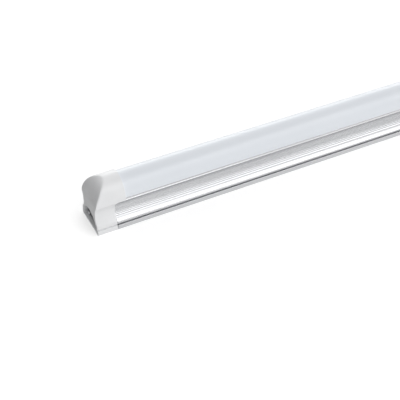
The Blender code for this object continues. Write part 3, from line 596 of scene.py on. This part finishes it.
def blocks(name, boxes, finishes):
    """One mesh of rounded blocks: (low corner, high corner, rounding, finish number) each."""
    shape = bmesh.new()
    for low, high, rounding, finish in boxes:
        made = bmesh.ops.create_cube(shape, size=1.0)["verts"]
        bmesh.ops.scale(shape, vec=Vector(high) - Vector(low), verts=made)
        bmesh.ops.translate(shape, vec=(Vector(high) + Vector(low)) / 2, verts=made)
        faces = {face for vert in made for face in vert.link_faces}
        for face in faces:
            face.material_index = finish
        if rounding:
            edges = list({edge for vert in made for edge in vert.link_edges})
            bmesh.ops.bevel(shape, geom=edges, offset=rounding, segments=3, profile=0.5,
                            affect="EDGES", material=finish)
    mesh = bpy.data.meshes.new(name)
    shape.to_mesh(mesh)
    shape.free()
    return shade(link(name, mesh, finishes))


def turned(name, profile, base, axis, finishes, pick=None, steps=48):
    """A profile of (along, radius) points turned about an axis that starts at base."""
    shape = bmesh.new()
    ring = [shape.verts.new((radius, 0, along)) for along, radius in profile]
    edges = [shape.edges.new(pair) for pair in zip(ring, ring[1:])]
    bmesh.ops.spin(shape, geom=ring + edges, cent=(0, 0, 0), axis=(0, 0, 1), dvec=(0, 0, 0),
                   angle=2 * math.pi, steps=steps, use_merge=True)
    bmesh.ops.remove_doubles(shape, verts=shape.verts, dist=0.000002)
    bmesh.ops.recalc_face_normals(shape, faces=shape.faces)
    if pick:
        for face in shape.faces:
            middle = face.calc_center_median()
            face.material_index = pick(middle.z, math.hypot(middle.x, middle.y))
    turn = {"X": Matrix.Rotation(math.pi / 2, 4, "Y"), "-X": Matrix.Rotation(-math.pi / 2, 4, "Y"),
            "Y": Matrix.Rotation(-math.pi / 2, 4, "X"), "Z": Matrix()}[axis]
    bmesh.ops.transform(shape, matrix=Matrix.Translation(base) @ turn, verts=shape.verts)
    mesh = bpy.data.meshes.new(name)
    shape.to_mesh(mesh)
    shape.free()
    return shade(link(name, mesh, finishes))


def copied(name, node, finish):
    """A fresh piece from a CAD node's own shape, welded."""
    mesh = bpy.data.objects[node].data.copy()
    mesh.name = name
    welded = bmesh.new()
    welded.from_mesh(mesh)
    bmesh.ops.remove_doubles(welded, verts=welded.verts, dist=0.000001)
    welded.to_mesh(mesh)
    welded.free()
    return link(name, mesh, [finish])


# ---------------------------------------------------------------- outlines

def rounded(points, steps=5):
    """An open outline of (across, up, rounding) points, with its corners rounded."""
    smooth = []
    for index, (across, up, rounding) in enumerate(points):
        here = Vector((across, up))
        if not rounding:
            smooth.append(here)
            continue
        before = Vector(points[index - 1][:2]) - here
        after = Vector(points[index + 1][:2]) - here
        start = here + before.normalized() * min(rounding, before.length / 2)
        stop = here + after.normalized() * min(rounding, after.length / 2)
        for step in range(steps + 1):
            t = step / steps
            smooth.append(start * (1 - t) ** 2 + here * 2 * t * (1 - t) + stop * t ** 2)
    return [tuple(point) for point in smooth]


def mirrored(half):
    """A whole outline from its +Y half, listed from the bottom up."""
    return half + [(-y, z) for y, z in reversed(half) if y > 1e-9]


def arc(centre, radii, start, end, steps):
    points = []
    for step in range(steps + 1):
        angle = math.radians(start + (end - start) * step / steps)
        across = centre[0] + radii[0] * math.cos(angle)
        up = centre[1] + radii[1] * math.sin(angle)
        points.append((across, up))
    return points


def side_y(z, offset=0.0):
    """Half width of the extrusion's side at height z, moved out by offset."""
    if z < WAIST_LOW:
        reach = LOWER_RADIUS - offset
        return WAIST_Y + LOWER_RADIUS - math.sqrt(reach ** 2 - min(WAIST_LOW - z, reach) ** 2)
    if z > WAIST_HIGH:
        reach = UPPER_RADIUS - offset
        return WAIST_Y + UPPER_RADIUS - math.sqrt(reach ** 2 - min(z - WAIST_HIGH, reach) ** 2)
    return WAIST_Y + offset


def side_points(low, high, offset, limit, steps):
    points = []
    for step in range(steps + 1):
        z = low + (high - low) * step / steps
        points.append((min(side_y(z, offset), limit), z))
    return points


def ribbed_side():
    """Outer side from the shoulder to the flared lip, with softly rounded ribs."""
    rib_end = RIB_LOW + RIB_COUNT * RIB_PITCH
    points = side_points(SHOULDER_Z, RIB_LOW, 0.0, SHOULDER_Y, 12)
    for step in range(1, RIB_COUNT * RIB_STEPS + 1):
        z = RIB_LOW + step * RIB_PITCH / RIB_STEPS
        wave = 0.5 - 0.5 * math.cos(2 * math.pi * step / RIB_STEPS)
        points.append((side_y(z) - RIB_DEPTH * wave ** 2, z))
    return points + side_points(rib_end + 0.15 * MM, LIP_START, 0.0, FLARE_Y, 14)


# ---------------------------------------------------------------- shells

def make_extrusion():
    """The base: a hollow section, cut back under the caps, with holes for leads and earth."""
    corners = [(0, 0, 0), (FLANGE_Y, 0, 0.3 * MM), (FLANGE_Y, FLANGE_TOP, 0.35 * MM)]
    corners += [(GROOVE_Y, FLANGE_TOP, 0.4 * MM), (GROOVE_Y, GROOVE_TOP, 0.4 * MM)]
    corners += [(SHOULDER_Y, GROOVE_TOP, 0.3 * MM)]
    corners += [(y, z, 0) for y, z in ribbed_side()]
    lip = LIP_Y + LIP_PROUD
    corners += [(lip, LIP_LOW, 0.3 * MM), (lip, LIP_EDGE_Z, 0.08 * MM)]
    corners += [(lip - LIP_BEVEL, LIP_EDGE_Z + LIP_BEVEL, 0.08 * MM)]
    corners += [(lip - LIP_LEAN, LIP_TOP, 0.08 * MM)]
    corners += [(LIP_INNER_Y, LIP_TOP, 0.1 * MM)]
    corners += [(LIP_INNER_Y, LEDGE_Z, 0.1 * MM), (TROUGH_Y, LEDGE_Z, 0.2 * MM)]
    corners += [(TROUGH_Y, SHELF_TOP, 0.2 * MM), (0, SHELF_TOP, 0)]
    cavity = [(0.0, FLOOR_TOP), (BOSS_Y - BOSS_RADIUS, FLOOR_TOP)]
    cavity += arc((BOSS_Y, BOSS_Z), (BOSS_RADIUS, BOSS_RADIUS), 180, 90, 12)[1:]
    cavity += [(CAVITY_Y, BOSS_Z + BOSS_RADIUS)]
    cavity += side_points(CAVITY_LOW, SHELF_LOW, -WALL, CAVITY_Y, 24)
    cavity += [(0.0, SHELF_LOW)]
    channels = [arc((side * BOSS_Y, BOSS_Z), (BOSS_HOLE, BOSS_HOLE), 0, 350, 35)
                for side in (-1, 1)]
    base = prism("extruded_base", [mirrored(rounded(corners)), mirrored(cavity)] + channels,
                 HOUSING[0][0], HOUSING[1][0], [LOOKS["aluminium_extrusion"]])
    beyond = 5 * MM
    for end in (-1, 1):
        for side in (-1, 1):
            spans = [sorted((end * (HALF_LENGTH - TRIM_LENGTH), end * (HALF_LENGTH + beyond)))]
            spans += [sorted((side * TRIM_Y, side * (FLANGE_Y + beyond))), [-beyond, TRIM_TOP]]
            cut(base, [span[0] for span in spans], [span[1] for span in spans])
    cut(base, LED_SLOT_LOW, LED_SLOT_HIGH)
    earth_x = sum(corner[0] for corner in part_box("earth_lug")) / 2
    profile = [(-beyond, 0), (-beyond, EARTH_HOLE), (beyond, EARTH_HOLE), (beyond, 0)]
    drill = turned("drill", profile, (earth_x, 0, 0), "Z", [])
    SCENE.collection.objects.unlink(drill)
    subtract(base, drill)
    settle(shade(base, 24), "aluminium_extrusion", "housing_profile")


def make_cover():
    """A round dome on short upright sides, with two legs that drop inside the extrusion's lips."""
    sides = [(LEG_OUT, LEG_LOW, 0), (LEG_OUT, JOINT_Z, 0.1 * MM)]
    sides += [(LIP_Y, JOINT_Z, 0.25 * MM), (LIP_Y, DOME_Z, 0)]
    outer = rounded(sides)
    outer += arc((0, DOME_Z), (LIP_Y, COVER_TOP - DOME_Z), 0, 90, DOME_STEPS)[1:]
    inner = [(LEG_IN, LEG_LOW)]
    inner += arc((0, DOME_Z), (LEG_IN, COVER_TOP - DOME_Z - COVER_WALL), 0, 90, DOME_STEPS)
    around = outer + [(-y, z) for y, z in reversed(outer[:-1])]
    under = [(-y, z) for y, z in inner] + list(reversed(inner[:-1]))
    cover = prism("frosted_dome", [around + under], COVER[0][0], COVER[1][0],
                  [LOOKS["frosted_cover"]])
    settle(shade(cover, 40), "frosted_cover", "diffuser_cover")


def remeshed(name, node, finish, voxel, rounds):
    """A CAD node's shape with the soft edges that a mould gives."""
    piece = copied(name, node, finish)
    skin = piece.modifiers.new("skin", "REMESH")
    skin.mode = "VOXEL"
    skin.voxel_size = voxel
    soften = piece.modifiers.new("soften", "SMOOTH")
    soften.factor = 0.5
    soften.iterations = rounds
    return applied(piece)


def thinned(piece, ratio):
    thin = piece.modifiers.new("thin", "DECIMATE")
    thin.ratio = ratio
    applied(piece)
    piece.data.shade_smooth()
    return piece


def eased(value, low, high):
    t = min(1.0, max(0.0, (value - low) / (high - low)))
    return t * t * (3 - 2 * t)


def make_cap(side, name, node):
    cap = remeshed(name, node, LOOKS["white_moulding"], CAP_VOXEL, 3)
    near_end = cap.vertex_groups.new(name="near_end")
    for vert in cap.data.vertices:
        up = eased(vert.co.z, CAP_SOFT_LOW, CAP_SOFT_HIGH)
        along = 1 - eased(HALF_LENGTH - side * vert.co.x, CAP_SOFT_REACH / 2, CAP_SOFT_REACH)
        if up * along > 0.01:
            near_end.add([vert.index], up * along, "REPLACE")
    soften = cap.modifiers.new("soften_end", "SMOOTH")
    soften.factor = 0.5
    soften.iterations = CAP_SOFT_ROUNDS
    soften.vertex_group = "near_end"
    applied(cap)
    settle(thinned(cap, CAP_KEPT_FACES), "white_moulding", node)


def make_sockets():
    for end in ("left", "right"):
        node = f"{end}_socket_body"
        # the socket face fills each cap's end recess; its dark colour is partly the plastic's own
        # and partly painted shade of that recess
        socket = remeshed(f"{end}_socket_moulding", node, LOOKS["dark_moulding"], SOCKET_VOXEL, 2)
        settle(thinned(socket, SOCKET_KEPT_FACES), "dark_moulding", node)
        for wire in ("live", "neutral", "earth"):
            make_pin(f"{end}_pin_{wire}", -1 if end == "left" else 1)


def make_pin(node, side):
    """A drawn contact pin with a round nose towards the plug."""
    low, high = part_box(node)
    length, radius = high[0] - low[0], (high[2] - low[2]) / 2
    profile = [(0, 0), (0, radius * 0.8), (0.2 * MM, radius), (length - radius, radius)]
    profile += [(length - radius + radius * math.sin(a), radius * math.cos(a))
                for a in (math.pi / 2 * step / 6 for step in range(1, 6))]
    profile += [(length, 0)]
    start = low[0] if side > 0 else high[0]
    base = (start, (low[1] + high[1]) / 2, (low[2] + high[2]) / 2)
    pin = turned(node + "_contact", profile, base, "X" if side > 0 else "-X",
                 [LOOKS["brass_contact"]], steps=24)
    settle(pin, "brass_contact", node)


def make_screw(node, side):
    """A pan-head cross-recess screw with a coarse thread."""
    low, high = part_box(node)
    length, radius = high[0] - low[0], (high[2] - low[2]) / 2
    head, shank = 1.1 * MM, 0.9 * MM
    pitch = 0.8 * MM
    profile = [(0, 0), (0.9 * MM, 0.3 * MM)]
    along = 0.9 * MM
    while along + pitch < length - head - 0.3 * MM:
        profile += [(along + pitch * 0.45, shank * 0.72), (along + pitch * 0.9, shank)]
        along += pitch
    rim = 0.25 * MM
    profile += [(length - head, shank * 0.8), (length - head, radius)]
    profile += [(length - head + rim, radius)]
    profile += arc((length - head + rim, 0), (head - rim, radius), 90, 0, 8)[1:]
    start = low[0] if side > 0 else high[0]
    y, z = (low[1] + high[1]) / 2, (low[2] + high[2]) / 2
    screw = turned(node + "_pan_head", profile, (start, y, z), "X" if side > 0 else "-X",
                   [LOOKS["steel_fastener"]], steps=32)
    face = high[0] if side > 0 else low[0]
    for wide, tall in ((0.18 * MM, 1.05 * MM), (1.05 * MM, 0.18 * MM)):
        span = sorted((face - side * 0.65 * MM, face + side * MM))
        cut(screw, (span[0], y - wide, z - tall), (span[1], y + wide, z + tall))
    settle(shade(screw), "steel_fastener", node)


# ---------------------------------------------------------------- light engine

def make_leds():
    """White packages, each with a sunk phosphor window, on two tinned tracks."""
    low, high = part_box("led_string")
    track_top = low[2] + 0.25 * MM
    boxes = []
    for side in (-1, 1):
        near = side * 0.75 * MM - 0.35 * MM
        boxes.append(((low[0], near, low[2]), (high[0], near + 0.7 * MM, track_top), 0, 2))
    for led in range(LED_COUNT):
        middle = (led - (LED_COUNT - 1) / 2) * LED_PITCH
        near, far = middle - LED_LENGTH / 2, middle + LED_LENGTH / 2
        half = LED_WIDTH / 2
        sunk = high[2] - 0.12 * MM
        boxes.append(((near, -half, track_top), (far, half, sunk - 0.1 * MM), 0.08 * MM, 0))
        rims = [((near, -half), (near + LED_RIM, half)), ((far - LED_RIM, -half), (far, half))]
        rims += [((near, -half), (far, -half + LED_RIM)), ((near, half - LED_RIM), (far, half))]
        for start, stop in rims:
            boxes.append(((*start, sunk - 0.2 * MM), (*stop, high[2]), 0.06 * MM, 0))
        start = (near + LED_RIM, LED_RIM - half, sunk - 0.15 * MM)
        boxes.append((start, (far - LED_RIM, half - LED_RIM, sunk), 0, 1))
    string = blocks("led_packages", boxes, [LOOKS["led_package"], PHOSPHOR, LOOKS["tinned_copper"]])
    settle(string, "led_package", "led_string")


def make_board(name, node, slot, pad_count):
    """A laminate with round-cornered edges and tinned pads set in its face."""
    low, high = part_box(node)
    boxes = [(low, high, 0.12 * MM, 0)]
    for _ in range(pad_count):
        x = DICE.uniform(low[0] + 2 * MM, high[0] - 3 * MM)
        y = DICE.uniform(low[1] + 0.8 * MM, high[1] - 1.6 * MM)
        start = (x, y, high[2] - 0.05 * MM)
        stop = (x + DICE.choice((0.6, 0.9, 1.3)) * MM, y + 0.8 * MM, high[2] + 0.04 * MM)
        boxes.append((start, stop, 0.02 * MM, 1))
    settle(blocks(name, boxes, [LOOKS[slot], LOOKS["tinned_copper"]]), slot, node)


# ---------------------------------------------------------------- pieces on the boards

def make_capacitor(node):
    """A sleeved can with a bung at one end, a crimp by it, and a scored vent at the other end."""
    low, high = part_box(node)
    length, r = high[0] - low[0], (high[2] - low[2]) / 2
    end, rim = length / MM, r / MM
    profile = [(0.3, 0), (0.3, rim - 1.2), (0, rim - 1.0), (0, rim - 0.4), (0.4, rim)]
    profile += [(1.6, rim), (1.9, rim - 0.35), (2.3, rim - 0.35), (2.6, rim)]
    profile += [(end - 0.6, rim), (end - 0.15, rim - 0.2), (end, rim - 0.6), (end, rim - 1.4)]
    profile += [(end - 0.2, rim - 1.6), (end - 0.2, 0)]
    profile = [(along * MM, radius * MM) for along, radius in profile]

    def pick(along, radius):
        if along > length - 0.3 * MM and radius < r - 1.4 * MM:
            return 1
        return 2 if along < 0.32 * MM and radius < r - 1.0 * MM else 0

    base = (low[0], (low[1] + high[1]) / 2, (low[2] + high[2]) / 2)
    finishes = [LOOKS["capacitor_sleeve"], LOOKS["cell_can"], BUNG]
    can = turned(node + "_can", profile, base, "X", finishes, pick)
    vent = 0.3 * MM
    for wide, tall in ((vent / 2, r * 0.6), (r * 0.6, vent / 2)):
        cut(can, (high[0] - 0.35 * MM, base[1] - wide, base[2] - tall),
            (high[0] + MM, base[1] + wide, base[2] + tall))
    settle(shade(can), "capacitor_sleeve", node)


def make_fuse():
    """A ceramic sleeve between two metal end caps."""
    low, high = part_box("fuse")
    length, r = high[0] - low[0], (high[2] - low[2]) / 2
    cap = 2.2 * MM
    sunk = r - 0.3 * MM
    profile = [(0, 0), (0, r - 0.3 * MM), (0.3 * MM, r), (cap, r), (cap, sunk)]
    profile += [(length - cap, sunk)]
    profile += [(length - cap, r), (length - 0.3 * MM, r), (length, r - 0.3 * MM), (length, 0)]
    base = (low[0], (low[1] + high[1]) / 2, (low[2] + high[2]) / 2)
    finishes = [LOOKS["fuse_sleeve"], LOOKS["steel_fastener"]]
    fuse = turned("fuse_cartridge", profile, base, "X", finishes,
                  lambda along, radius: 0 if cap < along < length - cap else 1)
    settle(fuse, "fuse_sleeve", "fuse")


def make_choke():
    """A ferrite drum wound with enamelled wire."""
    low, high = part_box("filter_choke")
    height, r = high[2] - low[2], (high[0] - low[0]) / 2
    flange, wire = 1.1 * MM, 0.5 * MM
    turns = int((height - 2 * flange) / wire)
    profile = [(0, 0), (0, r - 0.3 * MM), (0.3 * MM, r), (flange, r), (flange, r - 0.6 * MM)]
    for turn in range(turns):
        middle = flange + (height - 2 * flange) * (turn + 0.5) / turns
        profile += arc((middle, r - 0.6 * MM), (wire * 0.48, 0.32 * MM), 180, 0, 6)
    profile += [(height - flange, r - 0.6 * MM), (height - flange, r), (height - 0.3 * MM, r)]
    profile += [(height, r - 0.3 * MM), (height, 0)]
    base = ((low[0] + high[0]) / 2, (low[1] + high[1]) / 2, low[2])
    choke = turned("wound_choke", profile, base, "Z", [LOOKS["copper_winding"], FERRITE],
                   lambda along, radius: 0 if flange < along < height - flange else 1)
    settle(choke, "copper_winding", "filter_choke")


def make_varistor():
    """A dipped disc that stands on edge."""
    low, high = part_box("varistor")
    thick, r = high[1] - low[1], (high[2] - low[2]) / 2
    profile = [(0, 0)]
    for step in range(1, 16):
        angle = -math.pi / 2 + math.pi * step / 16
        profile.append((thick / 2 * (1 + math.sin(angle)), r * math.cos(angle) ** 0.35))
    profile.append((thick, 0))
    base = ((low[0] + high[0]) / 2, low[1], (low[2] + high[2]) / 2)
    disc = turned("dipped_varistor", profile, base, "Y", [LOOKS["varistor_coating"]])
    settle(disc, "varistor_coating", "varistor")


def make_chip(node, legs):
    """A moulded body on gull-wing legs."""
    low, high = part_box(node)
    foot = 0.7 * MM
    lift = 0.15 * MM
    middle = low[2] + (high[2] - low[2]) * 0.45
    half_thick = 0.1 * MM
    boxes = [((low[0], low[1] + foot, low[2] + lift), (high[0], high[1] - foot, high[2]),
              0.15 * MM, 0)]
    for leg in range(legs):
        x = low[0] + (high[0] - low[0]) * (leg + 0.5) / legs
        wide = min(0.5 * MM, (high[0] - low[0]) / legs / 3)
        for outer, inner in ((low[1], low[1] + foot), (high[1], high[1] - foot)):
            knee, heel = outer * 0.6 + inner * 0.4, outer * 0.4 + inner * 0.6
            runs = [(outer, (outer + inner) / 2, low[2], low[2] + lift)]
            root = inner + (inner - outer) * 0.3
            runs += [(knee, root, middle - half_thick, middle + half_thick)]
            runs += [(knee, heel, low[2], middle + half_thick)]
            for start, stop, under, over in runs:
                near, far = sorted((start, stop))
                boxes.append(((x - wide, near, under), (x + wide, far, over), 0.03 * MM, 1))
    chip = blocks(node + "_package", boxes, [LOOKS["component_black"], LOOKS["tinned_copper"]])
    settle(chip, "component_black", node)


def make_transformer():
    """A taped coil between the halves of a ferrite core, on a bobbin with two rows of pins."""
    low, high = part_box("transformer")
    x0, y0, z0 = low
    x1, y1, z1 = high
    base = z0 + 2.0 * MM
    core = 2.6 * MM
    core_x0, core_x1 = x0 + 2.2 * MM, x1 - 2.2 * MM
    core_top = z1 - MM
    coil = core + 0.2 * MM
    boxes = [((x0, y0 + 1.5 * MM, z0 + 0.4 * MM), (x1, y1 - 1.5 * MM, base), 0.2 * MM, 2)]
    boxes += [((core_x0, y0, base), (core_x1, y0 + core, core_top), 0.15 * MM, 1)]
    boxes += [((core_x0, y1 - core, base), (core_x1, y1, core_top), 0.15 * MM, 1)]
    boxes += [((core_x0, y0 + core, core_top - core), (core_x1, y1 - core, core_top), 0.1 * MM, 1)]
    boxes += [((x0 + 0.6 * MM, y0 + coil, base), (x1 - 0.6 * MM, y1 - coil, z1 - 1.6 * MM),
               1.2 * MM, 0)]
    boxes += [((x0 + 4.5 * MM, y0, base), (x1 - 4.5 * MM, y1, z1), 0.5 * MM, 0)]
    for row in range(4):
        x = x0 + (x1 - x0) * (row + 0.5) / 4
        for y in (y0 + 1.7 * MM, y1 - 2.3 * MM):
            boxes.append(((x - 0.3 * MM, y, z0), (x + 0.3 * MM, y + 0.6 * MM, z0 + MM), 0, 3))
    finishes = [LOOKS["transformer_tape"], FERRITE]
    finishes += [LOOKS["component_black"], LOOKS["tinned_copper"]]
    settle(blocks("taped_transformer", boxes, finishes), "transformer_tape", "transformer")


def make_relay():
    """A sealed case on a moulded base with six pins."""
    low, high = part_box("changeover_relay")
    base = low[2] + 1.0 * MM
    inset, rise = 0.2 * MM, 0.3 * MM
    boxes = [((low[0], low[1], base), high, 0.5 * MM, 0)]
    boxes += [((low[0] + inset, low[1] + inset, low[2] + rise),
               (high[0] - inset, high[1] - inset, base + rise), 0.1 * MM, 1)]
    for x in (low[0] + 1.5 * MM, (low[0] + high[0]) / 2, high[0] - 2.1 * MM):
        for y in (low[1] + MM, high[1] - 1.6 * MM):
            boxes.append(((x, y, low[2]), (x + 0.6 * MM, y + 0.6 * MM, base), 0, 2))
    finishes = [LOOKS["relay_blue"], LOOKS["component_black"], LOOKS["tinned_copper"]]
    settle(blocks("sealed_relay", boxes, finishes), "relay_blue", "changeover_relay")


def make_connector():
    """A shrouded two-way header and the crimp housing that plugs into it."""
    low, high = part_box("battery_header")
    wall = 0.7 * MM
    contact = 0.4 * MM
    boxes = [(low, (high[0], high[1], low[2] + 1.2 * MM), 0.15 * MM, 0),
             (low, (low[0] + wall, high[1], high[2]), 0.15 * MM, 0),
             (low, (high[0], low[1] + wall, high[2]), 0.15 * MM, 0),
             ((low[0], high[1] - wall, low[2]), high, 0.15 * MM, 0)]
    for y in (-1.4 * MM, 1.0 * MM):
        start = (low[0] + wall, y, low[2] + 2.2 * MM)
        boxes.append((start, (high[0] - contact, y + contact, start[2] + contact), 0, 1))
    header = blocks("shrouded_header", boxes, [LOOKS["connector_white"], LOOKS["tinned_copper"]])
    settle(header, "connector_white", "battery_header")
    low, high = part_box("battery_plug")
    boxes = [(low, (high[0], high[1], high[2] - 0.5 * MM), 0.3 * MM, 0),
             ((low[0] + MM, -0.9 * MM, high[2] - 0.6 * MM), (high[0] - MM, 0.9 * MM, high[2]),
              0.2 * MM, 0)]
    for y in (low[1] + 0.8 * MM, high[1] - 1.2 * MM):
        start = (low[0] + 0.8 * MM, y, high[2] - 0.6 * MM)
        stop = (high[0] - 0.8 * MM, y + contact, high[2] - 0.2 * MM)
        boxes.append((start, stop, 0.1 * MM, 0))
    housing = blocks("crimp_housing", boxes, [LOOKS["connector_white"]])
    settle(housing, "connector_white", "battery_plug")


# ---------------------------------------------------------------- backup cell and small pieces

def make_cell():
    """A rolled steel can with a crimped shoulder, in a film sleeve that shrinks over its ends."""
    low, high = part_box("battery_cell")
    length, r = high[0] - low[0], (high[2] - low[2]) / 2
    end, rim = length / MM, r / MM
    profile = [(0, 0), (0, rim - 0.9), (0.25, rim - 0.3), (0.9, rim)]
    profile += [(end - 4.2, rim), (end - 3.6, rim - 0.7), (end - 2.9, rim - 0.7), (end - 2.3, rim)]
    profile += [(end - 0.7, rim), (end - 0.3, rim - 0.4), (end - 0.3, rim - 2.2)]
    profile += [(end - 0.6, rim - 2.6), (end - 0.6, 3.4), (end, 3.0), (end, 0)]
    profile = [(along * MM, radius * MM) for along, radius in profile]
    base = (low[0], 0, (low[2] + high[2]) / 2)
    can = turned("rolled_cell", profile, base, "X", [LOOKS["cell_can"]], steps=CELL_STEPS)
    settle(can, "cell_can", "battery_cell")
    low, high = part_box("battery_sleeve")
    length, r = high[0] - low[0], (high[2] - low[2]) / 2
    film, hole, bend = 0.2 * MM, 6.4 * MM, 0.9 * MM
    outer = [(0, hole)] + arc((bend, r - bend), (bend, bend), 180, 90, 6)
    outer += arc((length - bend, r - bend), (bend, bend), 90, 0, 6) + [(length, hole)]
    within = bend - film
    inner = [(length - film, hole)] + arc((length - bend, r - bend), (within, within), 0, 90, 6)
    inner += arc((bend, r - bend), (within, within), 90, 180, 6) + [(film, hole)]
    base = (low[0], 0, (low[2] + high[2]) / 2)
    sleeve = turned("shrunk_sleeve", outer + inner + outer[:1], base, "X",
                    [LOOKS["blue_sleeve"]], steps=CELL_STEPS)
    settle(sleeve, "blue_sleeve", "battery_sleeve")


def make_pad(name, node):
    """A die-cut foam block with soft, slightly uneven faces."""
    low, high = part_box(node)
    pad = blocks(name, [(low, high, 0.7 * MM, 0)], [LOOKS["foam"]])
    shape = bmesh.new()
    shape.from_mesh(pad.data)
    bmesh.ops.subdivide_edges(shape, edges=shape.edges, cuts=4, use_grid_fill=True)
    middle = (Vector(low) + Vector(high)) / 2
    for vert in shape.verts:
        vert.co += (middle - vert.co).normalized() * DICE.uniform(0, FOAM_UNEVEN) * MM
    shape.to_mesh(pad.data)
    shape.free()
    settle(pad, "foam", node)


COPIES = {
    "driver_tray": ("tray_liner", 0.12 * MM),
    "earth_lug": ("tinned_copper", 0.1 * MM),
    "earth_rivet": ("steel_fastener", 0.08 * MM),
    "battery_insulator": ("insulating_paper", 0.1 * MM),
    "battery_protection_board": ("green_board", 0.1 * MM),
    "supply_lead_live": ("live_insulation", 0),
    "supply_lead_neutral": ("neutral_insulation", 0),
    "earth_lead": ("earth_insulation", 0),
    "link_lead_live": ("live_insulation", 0),
    "link_lead_neutral": ("neutral_insulation", 0),
    "link_lead_earth": ("earth_insulation", 0),
    "led_lead_positive": ("red_insulation", 0),
    "led_lead_negative": ("black_insulation", 0),
    "battery_lead_red": ("red_insulation", 0),
    "battery_lead_black": ("black_insulation", 0),
}


def make_copies():
    """Pieces whose CAD shape is right: the same shape with soft edges or smooth shading."""
    for node, (slot, rounding) in COPIES.items():
        piece = copied(node + "_fine", node, LOOKS[slot])
        if rounding:
            bevel = piece.modifiers.new("soft_edges", "BEVEL")
            bevel.width = rounding
            bevel.segments = 3
            bevel.limit_method = "ANGLE"
            applied(piece)
        settle(shade(piece, 40), slot, node)


# ---------------------------------------------------------------- everything, in order

SCENE.view_settings.view_transform = "Standard"
make_camera()
make_floor()
make_backdrop()
make_world()
softbox("front_softbox", 22, 51, 2.0, (3.4, 1.0), 1.72)
softbox("back_softbox", 172, 19, 2.2, (3.4, 1.0), 2.3)

make_extrusion()
make_cover()
make_cap(-1, "left_cap_moulding", "left_end_cap")
make_cap(1, "right_cap_moulding", "right_end_cap")
make_sockets()
for screw_side, screw_end in ((-1, "left"), (1, "right")):
    for screw_row in ("front", "rear"):
        make_screw(f"{screw_end}_cap_screw_{screw_row}", screw_side)
make_leds()
make_board("led_strip_board", "led_board", "white_board", 60)
make_board("driver_laminate", "driver_board", "green_board", 70)
make_board("emergency_laminate", "emergency_board", "green_board", 36)
for capacitor in ("input_capacitor", "output_capacitor"):
    make_capacitor(capacitor)
make_fuse()
make_choke()
make_varistor()
make_chip("bridge_rectifier", 2)
make_chip("switching_chip", 4)
make_chip("output_diode", 1)
make_chip("charger_chip", 4)
make_transformer()
make_relay()
make_connector()
make_cell()
make_pad("front_foam_block", "foam_pad_front")
make_pad("rear_foam_block", "foam_pad_rear")
make_copies()
